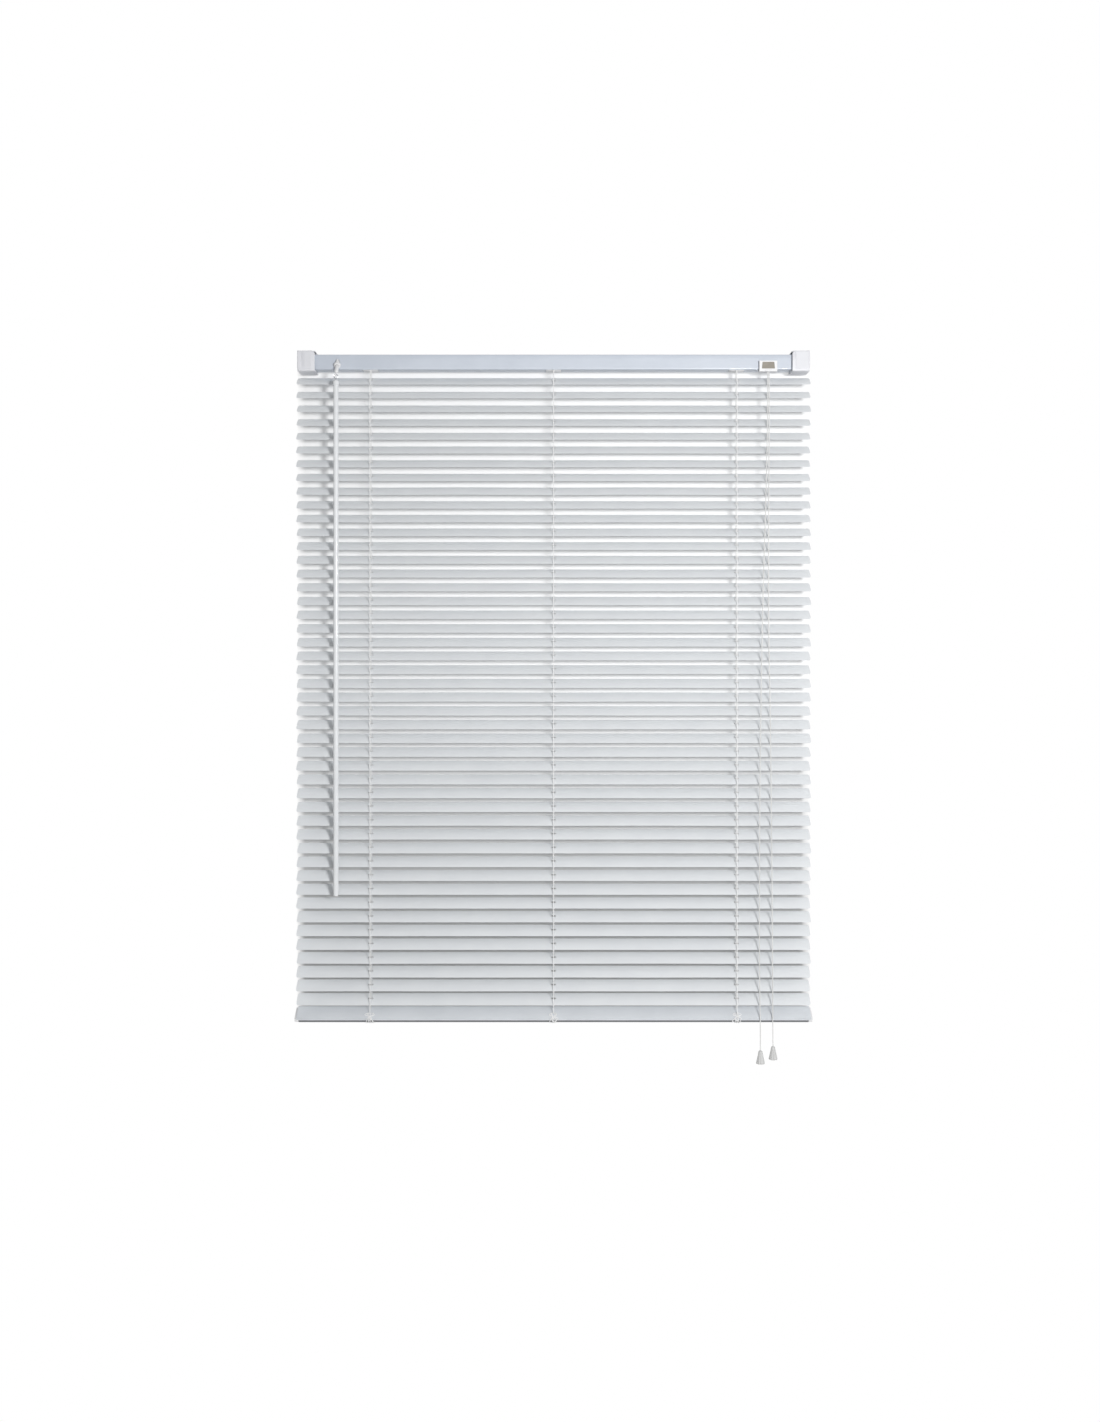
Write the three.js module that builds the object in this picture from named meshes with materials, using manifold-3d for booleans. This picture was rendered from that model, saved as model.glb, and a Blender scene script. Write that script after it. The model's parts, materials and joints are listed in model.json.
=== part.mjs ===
// A venetian blind with 25 mm slats: headrail, two box brackets with hinged covers, a worm
// tilter with its hanging wand, a tilt rod with ladder drums, a cord lock, slats on ladder
// strings, a bottom rail and a pull cord with its tassel.
// Millimetres. +X is to the right seen from the room, the room is at -Y, +Z is up. The origin is
// the point midway between the top faces of the two brackets, which the blind hangs from.

import * as THREE from 'three';
import { mergeVertices } from 'three/addons/utils/BufferGeometryUtils.js';
import Module from 'manifold-3d';

const wasm = await Module();
wasm.setup();

// Driving dimensions
const GAP = 0.3;

const SLAT_COUNT = 46;
const SLAT_PITCH = 23;
const SLAT_LENGTH = 858;
const SLAT_CHORD = 25;
const SLAT_CROWN = 2;
const SLAT_THICKNESS = 0.5;
const SLAT_ARC_STEPS = 4;
const FIRST_SLAT_Z = -48.3;
const REST_TILT_DEG = 35;
const ROUTE_HOLE = { length: 14, width: 5 };

const RAIL_SIZE = 25;
const RAIL_WALL = 1;
const RAIL_LIP = 3.5;
const RAIL_TOP_Z = -5.5;
const RAIL_HALF_LENGTH = 423.5;

const LADDER_X = 306;
const LADDER_RADIUS = 13.2;
const STRING_RADIUS = 0.4;
const STRING_CLEARANCE = 1.3;
const FRONT_STRING = { side: -1, top: -53, aboveRail: 17.5 };
const REAR_STRING = { side: 1, top: -37, aboveRail: 33 };
const LADDER_SLOT = { length: 26, width: 21 };
const STEM_OPENING = { width: 8, low: -26.5, high: -12.5 };

const TILTER_X = -360;
const CORD_LOCK_X = 357;
const TILT_ROD = { radius: 3, left: -378, right: 330, z: -18 };
const WORM_WHEEL = { radius: 5.4, width: 7 };
const DRUM = { radius: 8, width: 13 };

const STEM_SLOPE_DEG = 55;
const STEM_TIP = { radius: 1.8, low: 2.6 };
const STEM_SLEEVE = { radius: 3.3, low: 6, high: 19.5 };
const STEM_NECK = { radius: 2.6, low: 21, high: 29 };
const WORM = { radius: 3.1, low: 29.5, high: 40 };
const EYE = { radius: 3, thickness: 1.4, holeRadius: 1.7 };
const WAND_Y = -27.8;
const WAND_PIVOT_Z = -42;
const WAND_LENGTH = 863;
const WAND_RADIUS = 4.6;
const WIRE_RADIUS = 0.6;
const WIRE_LOOP_RADIUS = 3.2;
const WAND_COLLAR = { flare: 0.5, height: 8, shoulder: 3, topRadius: 2, overWire: 0.4, overRod: 1 };
const WAND_TIP = { height: 5, narrowing: 0.7 };

const BRACKET = { width: 29, height: 34, back: 17, front: -17.1, wall: 1.5, half: 426 };
const BRACKET_RIBS = { plateSetback: 1.3, topFront: 4, topBack: 10, bottomHalf: 8 };
const COVER = { thickness: 1.6, hingeZ: -33.2, corner: 4, underhang: 0.2 };
const SCREW_HOLE = { radius: 2.2, depth: 4, topPlaces: [-9, 0.5], backPlaces: [-11, -23] };

const BOTTOM_RAIL = { length: 864, chord: 25, thickness: 9, z: -1109.3, packHeight: 3, chamfer: 2.5 };
const BUTTON = { radius: 6, height: 2.6, narrowing: 0.8, sunk: 1 };

const LOCK = { length: 30, neckFront: -9, neckBack: -3, noseFront: -18.8, noseTop: -17, bottom: -34.8 };
const LOCK_BLOCK = { back: 8, top: -13, overFloor: 0.7, underLip: 0.4 };

const CORD_RADIUS = 0.8;
const CORD_STEPS = 64;
const TASSEL = { height: 21, topRadius: 3.4, bottomRadius: 7 };
const TASSEL_RIM = { height: 3, narrowing: 0.92 };
const TASSEL_CROWN = { height: 2, narrowing: 0.6 };

const WHITE_STEEL = { color: 0xd9e0ea, roughness: 0.35, metalness: 0.1 };
const WHITE_SLAT = { color: 0xe6e8e9, roughness: 0.4, metalness: 0 };
const WHITE_PLASTIC = { color: 0xe4e4ea, roughness: 0.45, metalness: 0 };
const WHITE_STRING = { color: 0xf2f2ef, roughness: 0.9, metalness: 0 };
const ZINC_STEEL = { color: 0xb9bcc0, roughness: 0.35, metalness: 0.9 };

const RAIL_BOTTOM_Z = RAIL_TOP_Z - RAIL_SIZE;
const REST_TILT = THREE.MathUtils.degToRad(REST_TILT_DEG);

// Solids: joining and cutting of closed meshes

function toSolid(geometry) {
  const bare = geometry.clone();
  bare.deleteAttribute('normal');
  bare.deleteAttribute('uv');
  const merged = mergeVertices(bare, 1e-4);
  return new wasm.Manifold(new wasm.Mesh({
    numProp: 3,
    vertProperties: Float32Array.from(merged.attributes.position.array),
    triVerts: Uint32Array.from(merged.index.array),
  }));
}

function toGeometry(solid) {
  const mesh = solid.getMesh();
  const geometry = new THREE.BufferGeometry();
  geometry.setAttribute('position', new THREE.BufferAttribute(mesh.vertProperties, 3));
  geometry.setIndex(new THREE.BufferAttribute(mesh.triVerts, 1));
  const faceted = geometry.toNonIndexed();
  faceted.computeVertexNormals();
  return faceted;
}

function join(...geometries) {
  return toGeometry(geometries.map(toSolid).reduce((whole, piece) => whole.add(piece)));
}

function cut(geometry, ...cutters) {
  return toGeometry(cutters.map(toSolid).reduce((left, tool) => left.subtract(tool), toSolid(geometry)));
}

// Shapes

// A section drawn in the YZ plane, carried along X from x0 to x0 + length.
function prism(points, length, x0) {
  const shape = new THREE.Shape(points.map(([y, z]) => new THREE.Vector2(y, z)));
  const geometry = new THREE.ExtrudeGeometry(shape, { depth: length, bevelEnabled: false });
  const toLengthways = new THREE.Matrix4().makeBasis(
    new THREE.Vector3(0, 1, 0),
    new THREE.Vector3(0, 0, 1),
    new THREE.Vector3(1, 0, 0),
  );
  return geometry.applyMatrix4(toLengthways).translate(x0, 0, 0);
}

function box(x0, x1, y0, y1, z0, z1) {
  const geometry = new THREE.BoxGeometry(x1 - x0, y1 - y0, z1 - z0);
  return geometry.translate((x0 + x1) / 2, (y0 + y1) / 2, (z0 + z1) / 2);
}

// A round shaft along X with steps: pairs of radius and place along X, in order.
function steppedShaft(steps, segments) {
  const profile = steps.map(([radius, x]) => new THREE.Vector2(radius, x));
  return new THREE.LatheGeometry(profile, segments).rotateZ(-Math.PI / 2);
}

// A turned piece along Z: pairs of radius and height, lowest first.
function turned(profile, segments) {
  const points = profile.map(([radius, z]) => new THREE.Vector2(radius, z));
  return new THREE.LatheGeometry(points, segments).rotateX(Math.PI / 2);
}

function tube(points, radius, steps) {
  const path = new THREE.CatmullRomCurve3(points.map((p) => new THREE.Vector3(...p)));
  const section = new THREE.Shape();
  section.absarc(0, 0, radius, 0, 2 * Math.PI);
  return new THREE.ExtrudeGeometry(section, {
    steps,
    curveSegments: 8,
    bevelEnabled: false,
    extrudePath: path,
  });
}

function piece(name, geometry, finish) {
  const mesh = new THREE.Mesh(geometry, new THREE.MeshStandardMaterial(finish));
  mesh.name = name;
  return mesh;
}

// Headrail: a channel open at the top, with a slot in its floor under each ladder, an opening
// for the cord lock's neck and one in its front wall for the tilter's stem.

function headrailGeometry() {
  const half = RAIL_SIZE / 2;
  const inner = half - RAIL_WALL;
  const floor = RAIL_BOTTOM_Z + RAIL_WALL;
  const underLip = RAIL_TOP_Z - RAIL_WALL;
  const section = [
    [-half, RAIL_BOTTOM_Z],
    [half, RAIL_BOTTOM_Z],
    [half, RAIL_TOP_Z],
    [half - RAIL_LIP, RAIL_TOP_Z],
    [half - RAIL_LIP, underLip],
    [inner, underLip],
    [inner, floor],
    [-inner, floor],
    [-inner, underLip],
    [-half + RAIL_LIP, underLip],
    [-half + RAIL_LIP, RAIL_TOP_Z],
    [-half, RAIL_TOP_Z],
  ];
  const channel = prism(section, 2 * RAIL_HALF_LENGTH, -RAIL_HALF_LENGTH);
  const ladderSlots = [-LADDER_X, 0, LADDER_X].map((x) => box(
    x - LADDER_SLOT.length / 2,
    x + LADDER_SLOT.length / 2,
    -LADDER_SLOT.width / 2,
    LADDER_SLOT.width / 2,
    RAIL_BOTTOM_Z - 1,
    floor + 1,
  ));
  const lockOpening = box(
    CORD_LOCK_X - LOCK.length / 2 - GAP,
    CORD_LOCK_X + LOCK.length / 2 + GAP,
    LOCK.neckFront - GAP,
    LOCK.neckBack + GAP,
    RAIL_BOTTOM_Z - 1,
    floor + 1,
  );
  const stemOpening = box(
    TILTER_X - STEM_OPENING.width / 2,
    TILTER_X + STEM_OPENING.width / 2,
    -half - 1,
    -inner + 1,
    STEM_OPENING.low,
    STEM_OPENING.high,
  );
  return cut(channel, ...ladderSlots, lockOpening, stemOpening);
}

// Brackets: each is a box of plates that the end of the headrail lies in, open to the front.
// Built on the +X side; the left one is its mirror image.

function bracketGeometry() {
  const { width, height, back, front, wall, half } = BRACKET;
  const { plateSetback, topFront, topBack, bottomHalf } = BRACKET_RIBS;
  const plateFront = front + plateSetback;
  const ribBottom = RAIL_BOTTOM_Z - GAP;
  const ribTop = RAIL_TOP_Z + GAP;
  const section = [
    [plateFront, -height],
    [back, -height],
    [back, 0],
    [plateFront, 0],
    [plateFront, -wall],
    [topFront, -wall],
    [topFront, ribTop],
    [topBack, ribTop],
    [topBack, -wall],
    [back - wall, -wall],
    [back - wall, -height + wall],
    [bottomHalf, -height + wall],
    [bottomHalf, ribBottom],
    [-bottomHalf, ribBottom],
    [-bottomHalf, -height + wall],
    [plateFront, -height + wall],
  ];
  const plates = prism(section, width - wall / 2, half - width);
  const endPlate = box(half - wall, half, front, back, -height, 0);
  const screwX = half - width / 2;
  const { radius, depth, topPlaces, backPlaces } = SCREW_HOLE;
  const drill = new THREE.CylinderGeometry(radius, radius, depth, 12);
  const topHoles = topPlaces.map((y) => drill.clone().rotateX(Math.PI / 2).translate(screwX, y, 0));
  const backHoles = backPlaces.map((z) => drill.clone().translate(screwX, back, z));
  return cut(join(plates, endPlate), ...topHoles, ...backHoles);
}

// Front cover of a bracket: a plate with one rounded lower corner, which swings down about its
// lower edge. Its own origin is on the hinge axis.

function coverGeometry() {
  const { width, height } = BRACKET;
  const { thickness, hingeZ, corner, underhang } = COVER;
  const low = -height + underhang - hingeZ;
  const high = -GAP - hingeZ;
  const halfWidth = width / 2;
  const outline = new THREE.Shape();
  outline.moveTo(-halfWidth, low);
  outline.lineTo(halfWidth - corner, low);
  outline.absarc(halfWidth - corner, low + corner, corner, -Math.PI / 2, 0);
  outline.lineTo(halfWidth, high);
  outline.lineTo(-halfWidth + corner, high);
  outline.lineTo(-halfWidth, high - corner);
  const plate = new THREE.ExtrudeGeometry(outline, {
    depth: thickness,
    curveSegments: 4,
    bevelEnabled: false,
  });
  return plate.rotateX(Math.PI / 2);
}

// Tilt rod: one shaft along the headrail with the worm wheel at the tilter and a drum at each
// ladder.

function tiltRodGeometry() {
  const steps = [[0, TILT_ROD.left], [TILT_ROD.radius, TILT_ROD.left]];
  const addCollar = (x, collar) => {
    steps.push([TILT_ROD.radius, x - collar.width / 2]);
    steps.push([collar.radius, x - collar.width / 2]);
    steps.push([collar.radius, x + collar.width / 2]);
    steps.push([TILT_ROD.radius, x + collar.width / 2]);
  };
  addCollar(TILTER_X, WORM_WHEEL);
  for (const x of [-LADDER_X, 0, LADDER_X]) addCollar(x, DRUM);
  steps.push([TILT_ROD.radius, TILT_ROD.right], [0, TILT_ROD.right]);
  return steppedShaft(steps, 16);
}

// Tilter stem: a worm inside the headrail, a neck through its front wall, a sleeve and a flat
// eye. Its own origin is the middle of the eye and its axis is its own +Z.

function tilterStemGeometry() {
  const shaft = turned([
    [0, STEM_TIP.low],
    [STEM_TIP.radius, STEM_TIP.low],
    [STEM_SLEEVE.radius, STEM_SLEEVE.low],
    [STEM_SLEEVE.radius, STEM_SLEEVE.high],
    [STEM_NECK.radius, STEM_NECK.low],
    [STEM_NECK.radius, STEM_NECK.high],
    [WORM.radius, WORM.low],
    [WORM.radius, WORM.high],
    [0, WORM.high],
  ], 14);
  const { radius, thickness, holeRadius } = EYE;
  const tab = new THREE.CylinderGeometry(radius, radius, thickness, 16).rotateZ(Math.PI / 2);
  const hole = new THREE.CylinderGeometry(holeRadius, holeRadius, 4 * radius, 12).rotateZ(Math.PI / 2);
  return cut(join(shaft, tab), hole);
}

// Wand: a wire loop through the stem's eye, a collar and a long hexagonal rod. Its own origin is
// the middle of the stem's eye.

function wandGeometry() {
  const loop = new THREE.TorusGeometry(WIRE_LOOP_RADIUS, WIRE_RADIUS, 8, 18)
    .rotateX(Math.PI / 2)
    .translate(0, 0, -WIRE_LOOP_RADIUS);
  const { flare, height, shoulder, topRadius, overWire, overRod } = WAND_COLLAR;
  const collarTop = -2 * WIRE_LOOP_RADIUS + overWire;
  const collarRadius = WAND_RADIUS + flare;
  const collar = turned([
    [0, collarTop - height],
    [collarRadius, collarTop - height],
    [collarRadius, collarTop - shoulder],
    [topRadius, collarTop],
    [0, collarTop],
  ], 16);
  const tip = -WAND_LENGTH;
  const rodTop = collarTop - height + overRod;
  const rod = turned([
    [0, tip],
    [WAND_RADIUS * WAND_TIP.narrowing, tip],
    [WAND_RADIUS, tip + WAND_TIP.height],
    [WAND_RADIUS, rodTop],
    [0, rodTop],
  ], 6);
  return join(loop, collar, rod);
}

// Cord lock: a block inside the channel, a neck through its floor and a nose in front of it,
// which the pull cords leave.

function cordLockGeometry() {
  const { length, neckFront, neckBack, noseFront, noseTop, bottom } = LOCK;
  const { back, top, overFloor, underLip } = LOCK_BLOCK;
  const blockFloor = RAIL_BOTTOM_Z + RAIL_WALL + overFloor;
  const lipTop = RAIL_BOTTOM_Z - underLip;
  const noseBack = -RAIL_SIZE / 2 - GAP;
  const section = [
    [noseFront, bottom],
    [neckBack, bottom],
    [neckBack, blockFloor],
    [back, blockFloor],
    [back, top],
    [neckFront, top],
    [neckFront, lipTop],
    [noseBack, lipTop],
    [noseBack, noseTop],
    [noseFront, noseTop],
  ];
  return prism(section, length, CORD_LOCK_X - length / 2);
}

// Slat: a strip with a shallow arch across it and a hole at each ladder for the lift cord. Its
// own origin is the middle of the line between its two long edges.

function slatGeometry() {
  const half = SLAT_CHORD / 2;
  const lift = STRING_RADIUS;
  const arch = (u) => lift + SLAT_CROWN * (1 - u * u);
  const across = Array.from({ length: SLAT_ARC_STEPS + 1 }, (_, i) => -1 + (2 * i) / SLAT_ARC_STEPS);
  const under = across.map((u) => [half * u, arch(u)]);
  const over = across.map((u) => [half * u, arch(u) + SLAT_THICKNESS]).reverse();
  const strip = prism([...under, ...over], SLAT_LENGTH, -SLAT_LENGTH / 2);
  const holes = [-LADDER_X, 0, LADDER_X].map((x) => box(
    x - ROUTE_HOLE.length / 2,
    x + ROUTE_HOLE.length / 2,
    -ROUTE_HOLE.width / 2,
    ROUTE_HOLE.width / 2,
    0,
    SLAT_CROWN + 2,
  ));
  return cut(strip, ...holes);
}

// Bottom rail: a flat tube with chamfered edges, the pack of spare slats lying on it and a
// button under it at each ladder. Its own origin is the middle of its section.

function bottomRailGeometry() {
  const { length, chord, thickness, packHeight, chamfer } = BOTTOM_RAIL;
  const half = chord / 2;
  const top = thickness / 2;
  const halfwayCrown = SLAT_CROWN * 0.75;
  const section = [
    [-half + chamfer, -top],
    [half - chamfer, -top],
    [half, -top + chamfer],
    [half, top + packHeight],
    [half / 2, top + packHeight + halfwayCrown],
    [0, top + packHeight + SLAT_CROWN],
    [-half / 2, top + packHeight + halfwayCrown],
    [-half, top + packHeight],
    [-half, -top + chamfer],
  ];
  const rail = prism(section, length, -length / 2);
  const { radius, height, narrowing, sunk } = BUTTON;
  const button = new THREE.CylinderGeometry(radius, radius * narrowing, height + sunk, 12)
    .rotateX(Math.PI / 2)
    .translate(0, 0, -top + (sunk - height) / 2);
  const buttons = [-LADDER_X, 0, LADDER_X].map((x) => button.clone().translate(x, 0, 0));
  return join(rail, ...buttons);
}

// Ladder strings of the middle ladder: straight, from just under the headrail to the bottom
// rail, at radius LADDER_RADIUS from the slats' axes and a little clear of their edges. Each end
// stops where it stays clear of the headrail and the bottom rail however far the slats tilt.

function ladderString({ side, top, aboveRail }) {
  const y = side * (LADDER_RADIUS * Math.cos(REST_TILT) + STRING_CLEARANCE);
  return tube([[0, y, BOTTOM_RAIL.z + aboveRail], [0, y, top]], STRING_RADIUS, 1);
}

// Pull cord: its route from the cord lock's nose to the tassel, and the tassel.

const PULL_CORD_ROUTE = [
  [356.2, -16.2, -35.1],
  [356.2, -16.2, -50],
  [355.6, -16.4, -130],
  [353, -16.8, -250],
  [349.4, -17.2, -370],
  [346.8, -17.4, -480],
  [345, -17.4, -580],
  [343.4, -17.2, -700],
  [342.6, -17, -850],
  [342.4, -16.9, -1000],
  [343.2, -16.8, -1080],
  [344, -16.7, -1130],
  [344, -16.7, -1164],
];

function tasselGeometry() {
  const { height, topRadius, bottomRadius } = TASSEL;
  return turned([
    [0, -height],
    [bottomRadius, -height],
    [bottomRadius * TASSEL_RIM.narrowing, -height + TASSEL_RIM.height],
    [topRadius, -TASSEL_CROWN.height],
    [topRadius * TASSEL_CROWN.narrowing, 0],
    [0, 0],
  ], 16);
}

// The whole blind

const blind = new THREE.Group();
blind.add(piece('headrail', headrailGeometry(), WHITE_STEEL));

for (const side of ['left', 'right']) {
  const mirror = side === 'left' ? -1 : 1;
  const end = new THREE.Group();
  end.scale.x = mirror;
  end.add(piece(`bracket_${side}`, bracketGeometry(), WHITE_PLASTIC));
  const cover = piece(`bracket_cover_${side}`, coverGeometry(), WHITE_PLASTIC);
  cover.position.set(BRACKET.half - BRACKET.width / 2, BRACKET.front - GAP, COVER.hingeZ);
  end.add(cover);
  blind.add(end);
}

const tiltRod = piece('tilt_rod', tiltRodGeometry(), ZINC_STEEL);
tiltRod.position.z = TILT_ROD.z;
blind.add(tiltRod);

const tilter = new THREE.Group();
tilter.position.set(TILTER_X, WAND_Y, WAND_PIVOT_Z);
const stem = piece('tilter_stem', tilterStemGeometry(), WHITE_PLASTIC);
stem.rotation.x = THREE.MathUtils.degToRad(STEM_SLOPE_DEG) - Math.PI / 2;
tilter.add(stem, piece('tilt_wand', wandGeometry(), WHITE_PLASTIC));
blind.add(tilter);

blind.add(piece('cord_lock', cordLockGeometry(), WHITE_PLASTIC));

const slatShape = slatGeometry();
for (let i = 0; i < SLAT_COUNT; i += 1) {
  const slat = piece(`slat_${String(i + 1).padStart(2, '0')}`, slatShape, WHITE_SLAT);
  slat.position.z = FIRST_SLAT_Z - i * SLAT_PITCH;
  slat.rotation.x = REST_TILT;
  blind.add(slat);
}

const bottomRail = piece('bottom_rail', bottomRailGeometry(), WHITE_STEEL);
bottomRail.position.z = BOTTOM_RAIL.z;
bottomRail.rotation.x = REST_TILT;
blind.add(bottomRail);

blind.add(piece('ladder_string_front', ladderString(FRONT_STRING), WHITE_STRING));
blind.add(piece('ladder_string_rear', ladderString(REAR_STRING), WHITE_STRING));

blind.add(piece('pull_cord', tube(PULL_CORD_ROUTE, CORD_RADIUS, CORD_STEPS), WHITE_STRING));
const tassel = piece('tassel', tasselGeometry(), WHITE_PLASTIC);
tassel.position.set(...PULL_CORD_ROUTE.at(-1));
tassel.position.z -= GAP;
blind.add(tassel);

export default blind;
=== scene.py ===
"""Looks of a white venetian blind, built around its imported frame.

Sizes in the classes are millimetres and are turned into metres where a mesh is made, except in
Studio, which is in metres. +X is to the right seen from the room, the room is at -Y and +Z is up.
"""

import json
import logging
import math
from dataclasses import dataclass
from enum import Enum
from typing import Sequence

import bpy
import numpy as np
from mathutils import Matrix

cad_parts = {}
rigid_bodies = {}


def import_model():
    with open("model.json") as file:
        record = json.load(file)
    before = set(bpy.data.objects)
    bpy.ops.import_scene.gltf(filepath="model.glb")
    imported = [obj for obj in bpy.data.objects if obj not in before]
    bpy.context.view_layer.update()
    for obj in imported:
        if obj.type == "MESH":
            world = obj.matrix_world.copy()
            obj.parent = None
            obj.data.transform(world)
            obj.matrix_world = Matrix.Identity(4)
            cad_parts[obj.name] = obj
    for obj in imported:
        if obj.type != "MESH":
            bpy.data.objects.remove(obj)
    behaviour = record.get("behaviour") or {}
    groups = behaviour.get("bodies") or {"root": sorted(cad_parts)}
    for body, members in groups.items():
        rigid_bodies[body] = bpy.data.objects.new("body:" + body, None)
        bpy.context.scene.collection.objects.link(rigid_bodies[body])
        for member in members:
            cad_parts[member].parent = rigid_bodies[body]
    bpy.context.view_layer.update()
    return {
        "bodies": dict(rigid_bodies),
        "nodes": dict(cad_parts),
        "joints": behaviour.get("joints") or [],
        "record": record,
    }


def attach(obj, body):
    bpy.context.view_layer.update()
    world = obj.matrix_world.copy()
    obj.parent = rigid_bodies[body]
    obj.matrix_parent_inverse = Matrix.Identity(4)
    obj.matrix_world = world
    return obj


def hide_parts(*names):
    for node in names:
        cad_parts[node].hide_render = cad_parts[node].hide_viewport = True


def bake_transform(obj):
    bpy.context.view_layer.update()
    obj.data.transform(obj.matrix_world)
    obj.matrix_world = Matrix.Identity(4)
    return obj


MM = 0.001
LOG = logging.getLogger("blind")

Profile = Sequence[tuple[float, float]]
Corners = Sequence[tuple[float, float, float]]
Colour = tuple[float, float, float]


# Surfaces


def circle(radius: float, sides: int) -> np.ndarray:
    """Points on a circle: (r cos t, r sin t) for t in equal steps."""
    turn = np.linspace(0, 2 * math.pi, sides, endpoint=False)
    return np.stack([radius * np.cos(turn), radius * np.sin(turn)], axis=1)


def fillet(corners: Corners, steps: int = 4, closed: bool = True) -> np.ndarray:
    """A line through corners, each one rounded by a quadratic arc.

    With a = corner - r u, b = corner + r v along its two sides, a corner becomes
    (1-t)^2 a + 2t(1-t) corner + t^2 b. A radius of 0 keeps the corner as one point.

    Args:
        corners: The corners in order, each with how far from it its arc starts.
        steps: Segments of an arc.
        closed: Whether the line returns to its start.

    Returns:
        The points, one row each.
    """
    table = np.asarray(corners, float)
    places, radii = table[:, :2], table[:, 2]
    count = len(places)
    t = np.linspace(0, 1, steps + 1)[:, None]
    points = []
    for i, (corner, radius) in enumerate(zip(places, radii)):
        at_end = not closed and i in (0, count - 1)
        if at_end or radius == 0:
            points.append(corner[None])
            continue
        before = places[i - 1] - corner
        after = places[(i + 1) % count] - corner
        a = corner + radius * before / np.linalg.norm(before)
        b = corner + radius * after / np.linalg.norm(after)
        points.append((1 - t) ** 2 * a + 2 * t * (1 - t) * corner + t ** 2 * b)
    return np.concatenate(points)


def box(low: Sequence[float], high: Sequence[float], radius: float) -> Corners:
    """Corners of a rectangle between two of its corners, all with one radius."""
    (left, bottom), (right, top) = low, high
    return ((left, bottom, radius), (right, bottom, radius), (right, top, radius), (left, top, radius))


def hexagon(radius: float, corner: float, steps: int) -> np.ndarray:
    """A hexagon with rounded corners."""
    return fillet(np.column_stack([circle(radius, 6), np.full(6, corner)]), steps)


def inset(outline: np.ndarray, depth: float) -> np.ndarray:
    """A closed outline moved inwards along the mitre of its neighbouring sides.

    With normals m and n of the sides at a point, it moves by depth (m + n) / (|m + n|^2 / 2).

    Args:
        outline: The points, one row each.
        depth: How far in, or out if it is negative.

    Returns:
        The moved points.
    """
    following = np.roll(outline, -1, axis=0)
    sides = following - outline
    normals = np.stack([-sides[:, 1], sides[:, 0]], axis=1)
    normals /= np.linalg.norm(normals, axis=1, keepdims=True)
    mitre = normals + np.roll(normals, 1, axis=0)
    sharpest = 0.3
    mitre /= np.maximum(np.sum(mitre * mitre, axis=1, keepdims=True) / 2, sharpest)
    area = np.sum(outline[:, 0] * following[:, 1] - outline[:, 1] * following[:, 0])
    return outline + np.sign(area) * depth * mitre


def smooth_path(corners: Sequence[Sequence[float]], steps: int) -> np.ndarray:
    """A Catmull-Rom curve through corners.

    p(t) = 0.5 (2b + (c-a) t + (2a-5b+4c-d) t^2 + (3b-a-3c+d) t^3) between b and c.

    Args:
        corners: The points it passes through.
        steps: Points to each span.

    Returns:
        The points, one row each.
    """
    p = np.asarray(corners, float)
    p = np.concatenate([[2 * p[0] - p[1]], p, [2 * p[-1] - p[-2]]])
    a, b, c, d = p[:-3, None], p[1:-2, None], p[2:-1, None], p[3:, None]
    t = np.linspace(0, 1, steps, endpoint=False)[None, :, None]
    square = (2 * a - 5 * b + 4 * c - d) * t ** 2
    curve = 0.5 * (2 * b + (c - a) * t + square + (3 * b - a - 3 * c + d) * t ** 3)
    return np.concatenate([curve.reshape(-1, 3), p[-2:-1]])


def tilted(points: np.ndarray, angle: float, place: Sequence[float]) -> np.ndarray:
    """Points turned about X and moved: y' = y cos - z sin, z' = y sin + z cos.

    Args:
        points: Any array of points.
        angle: The turn in radians.
        place: Where the axis goes.

    Returns:
        The moved points.
    """
    x, y, z = points[..., 0], points[..., 1], points[..., 2]
    cosine, sine = math.cos(angle), math.sin(angle)
    turned = np.stack([x, y * cosine - z * sine, y * sine + z * cosine], axis=-1)
    return turned + np.asarray(place, float)


def prism(section: np.ndarray, xs: Sequence[float]) -> np.ndarray:
    """Loops of a (y, z) section carried along X.

    Args:
        section: The section's points.
        xs: Where its copies stand.

    Returns:
        Loops as (copies, points, 3).
    """
    along = np.asarray(xs, float)
    loops = np.empty((len(along), len(section), 3))
    loops[..., 0] = along[:, None]
    loops[..., 1:] = section[None]
    return loops


def plate(outline: np.ndarray, levels: Profile) -> np.ndarray:
    """Loops of an (x, z) outline that give a plate with eased edges.

    Args:
        outline: The plate's outline.
        levels: Pairs of y and inset, from one face to the other.

    Returns:
        Loops as (levels, points, 3).
    """
    loops = []
    for y, depth in levels:
        shape = inset(outline, depth) if depth else outline
        loops.append(np.stack([shape[:, 0], np.full(len(shape), y), shape[:, 1]], axis=1))
    return np.array(loops)


def lathe(profile: Profile, sides: int, ribs: int = 0, rib_depth: float = 0.0) -> np.ndarray:
    """Loops around +Z: radius r(z) (1 + d cos(n t)) at height z.

    Args:
        profile: Pairs of radius and height, in order.
        sides: Points around.
        ribs: How many ribs n run along it.
        rib_depth: The ribs' depth d as a share of the radius.

    Returns:
        Loops as (rows, sides, 3).
    """
    radii, heights = np.asarray(profile, float).T
    turn = np.linspace(0, 2 * math.pi, sides, endpoint=False)
    r = radii[:, None] * (1 + rib_depth * np.cos(ribs * turn))[None]
    rise = np.repeat(heights[:, None], sides, axis=1)
    return np.stack([r * np.cos(turn), r * np.sin(turn), rise], axis=-1)


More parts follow.
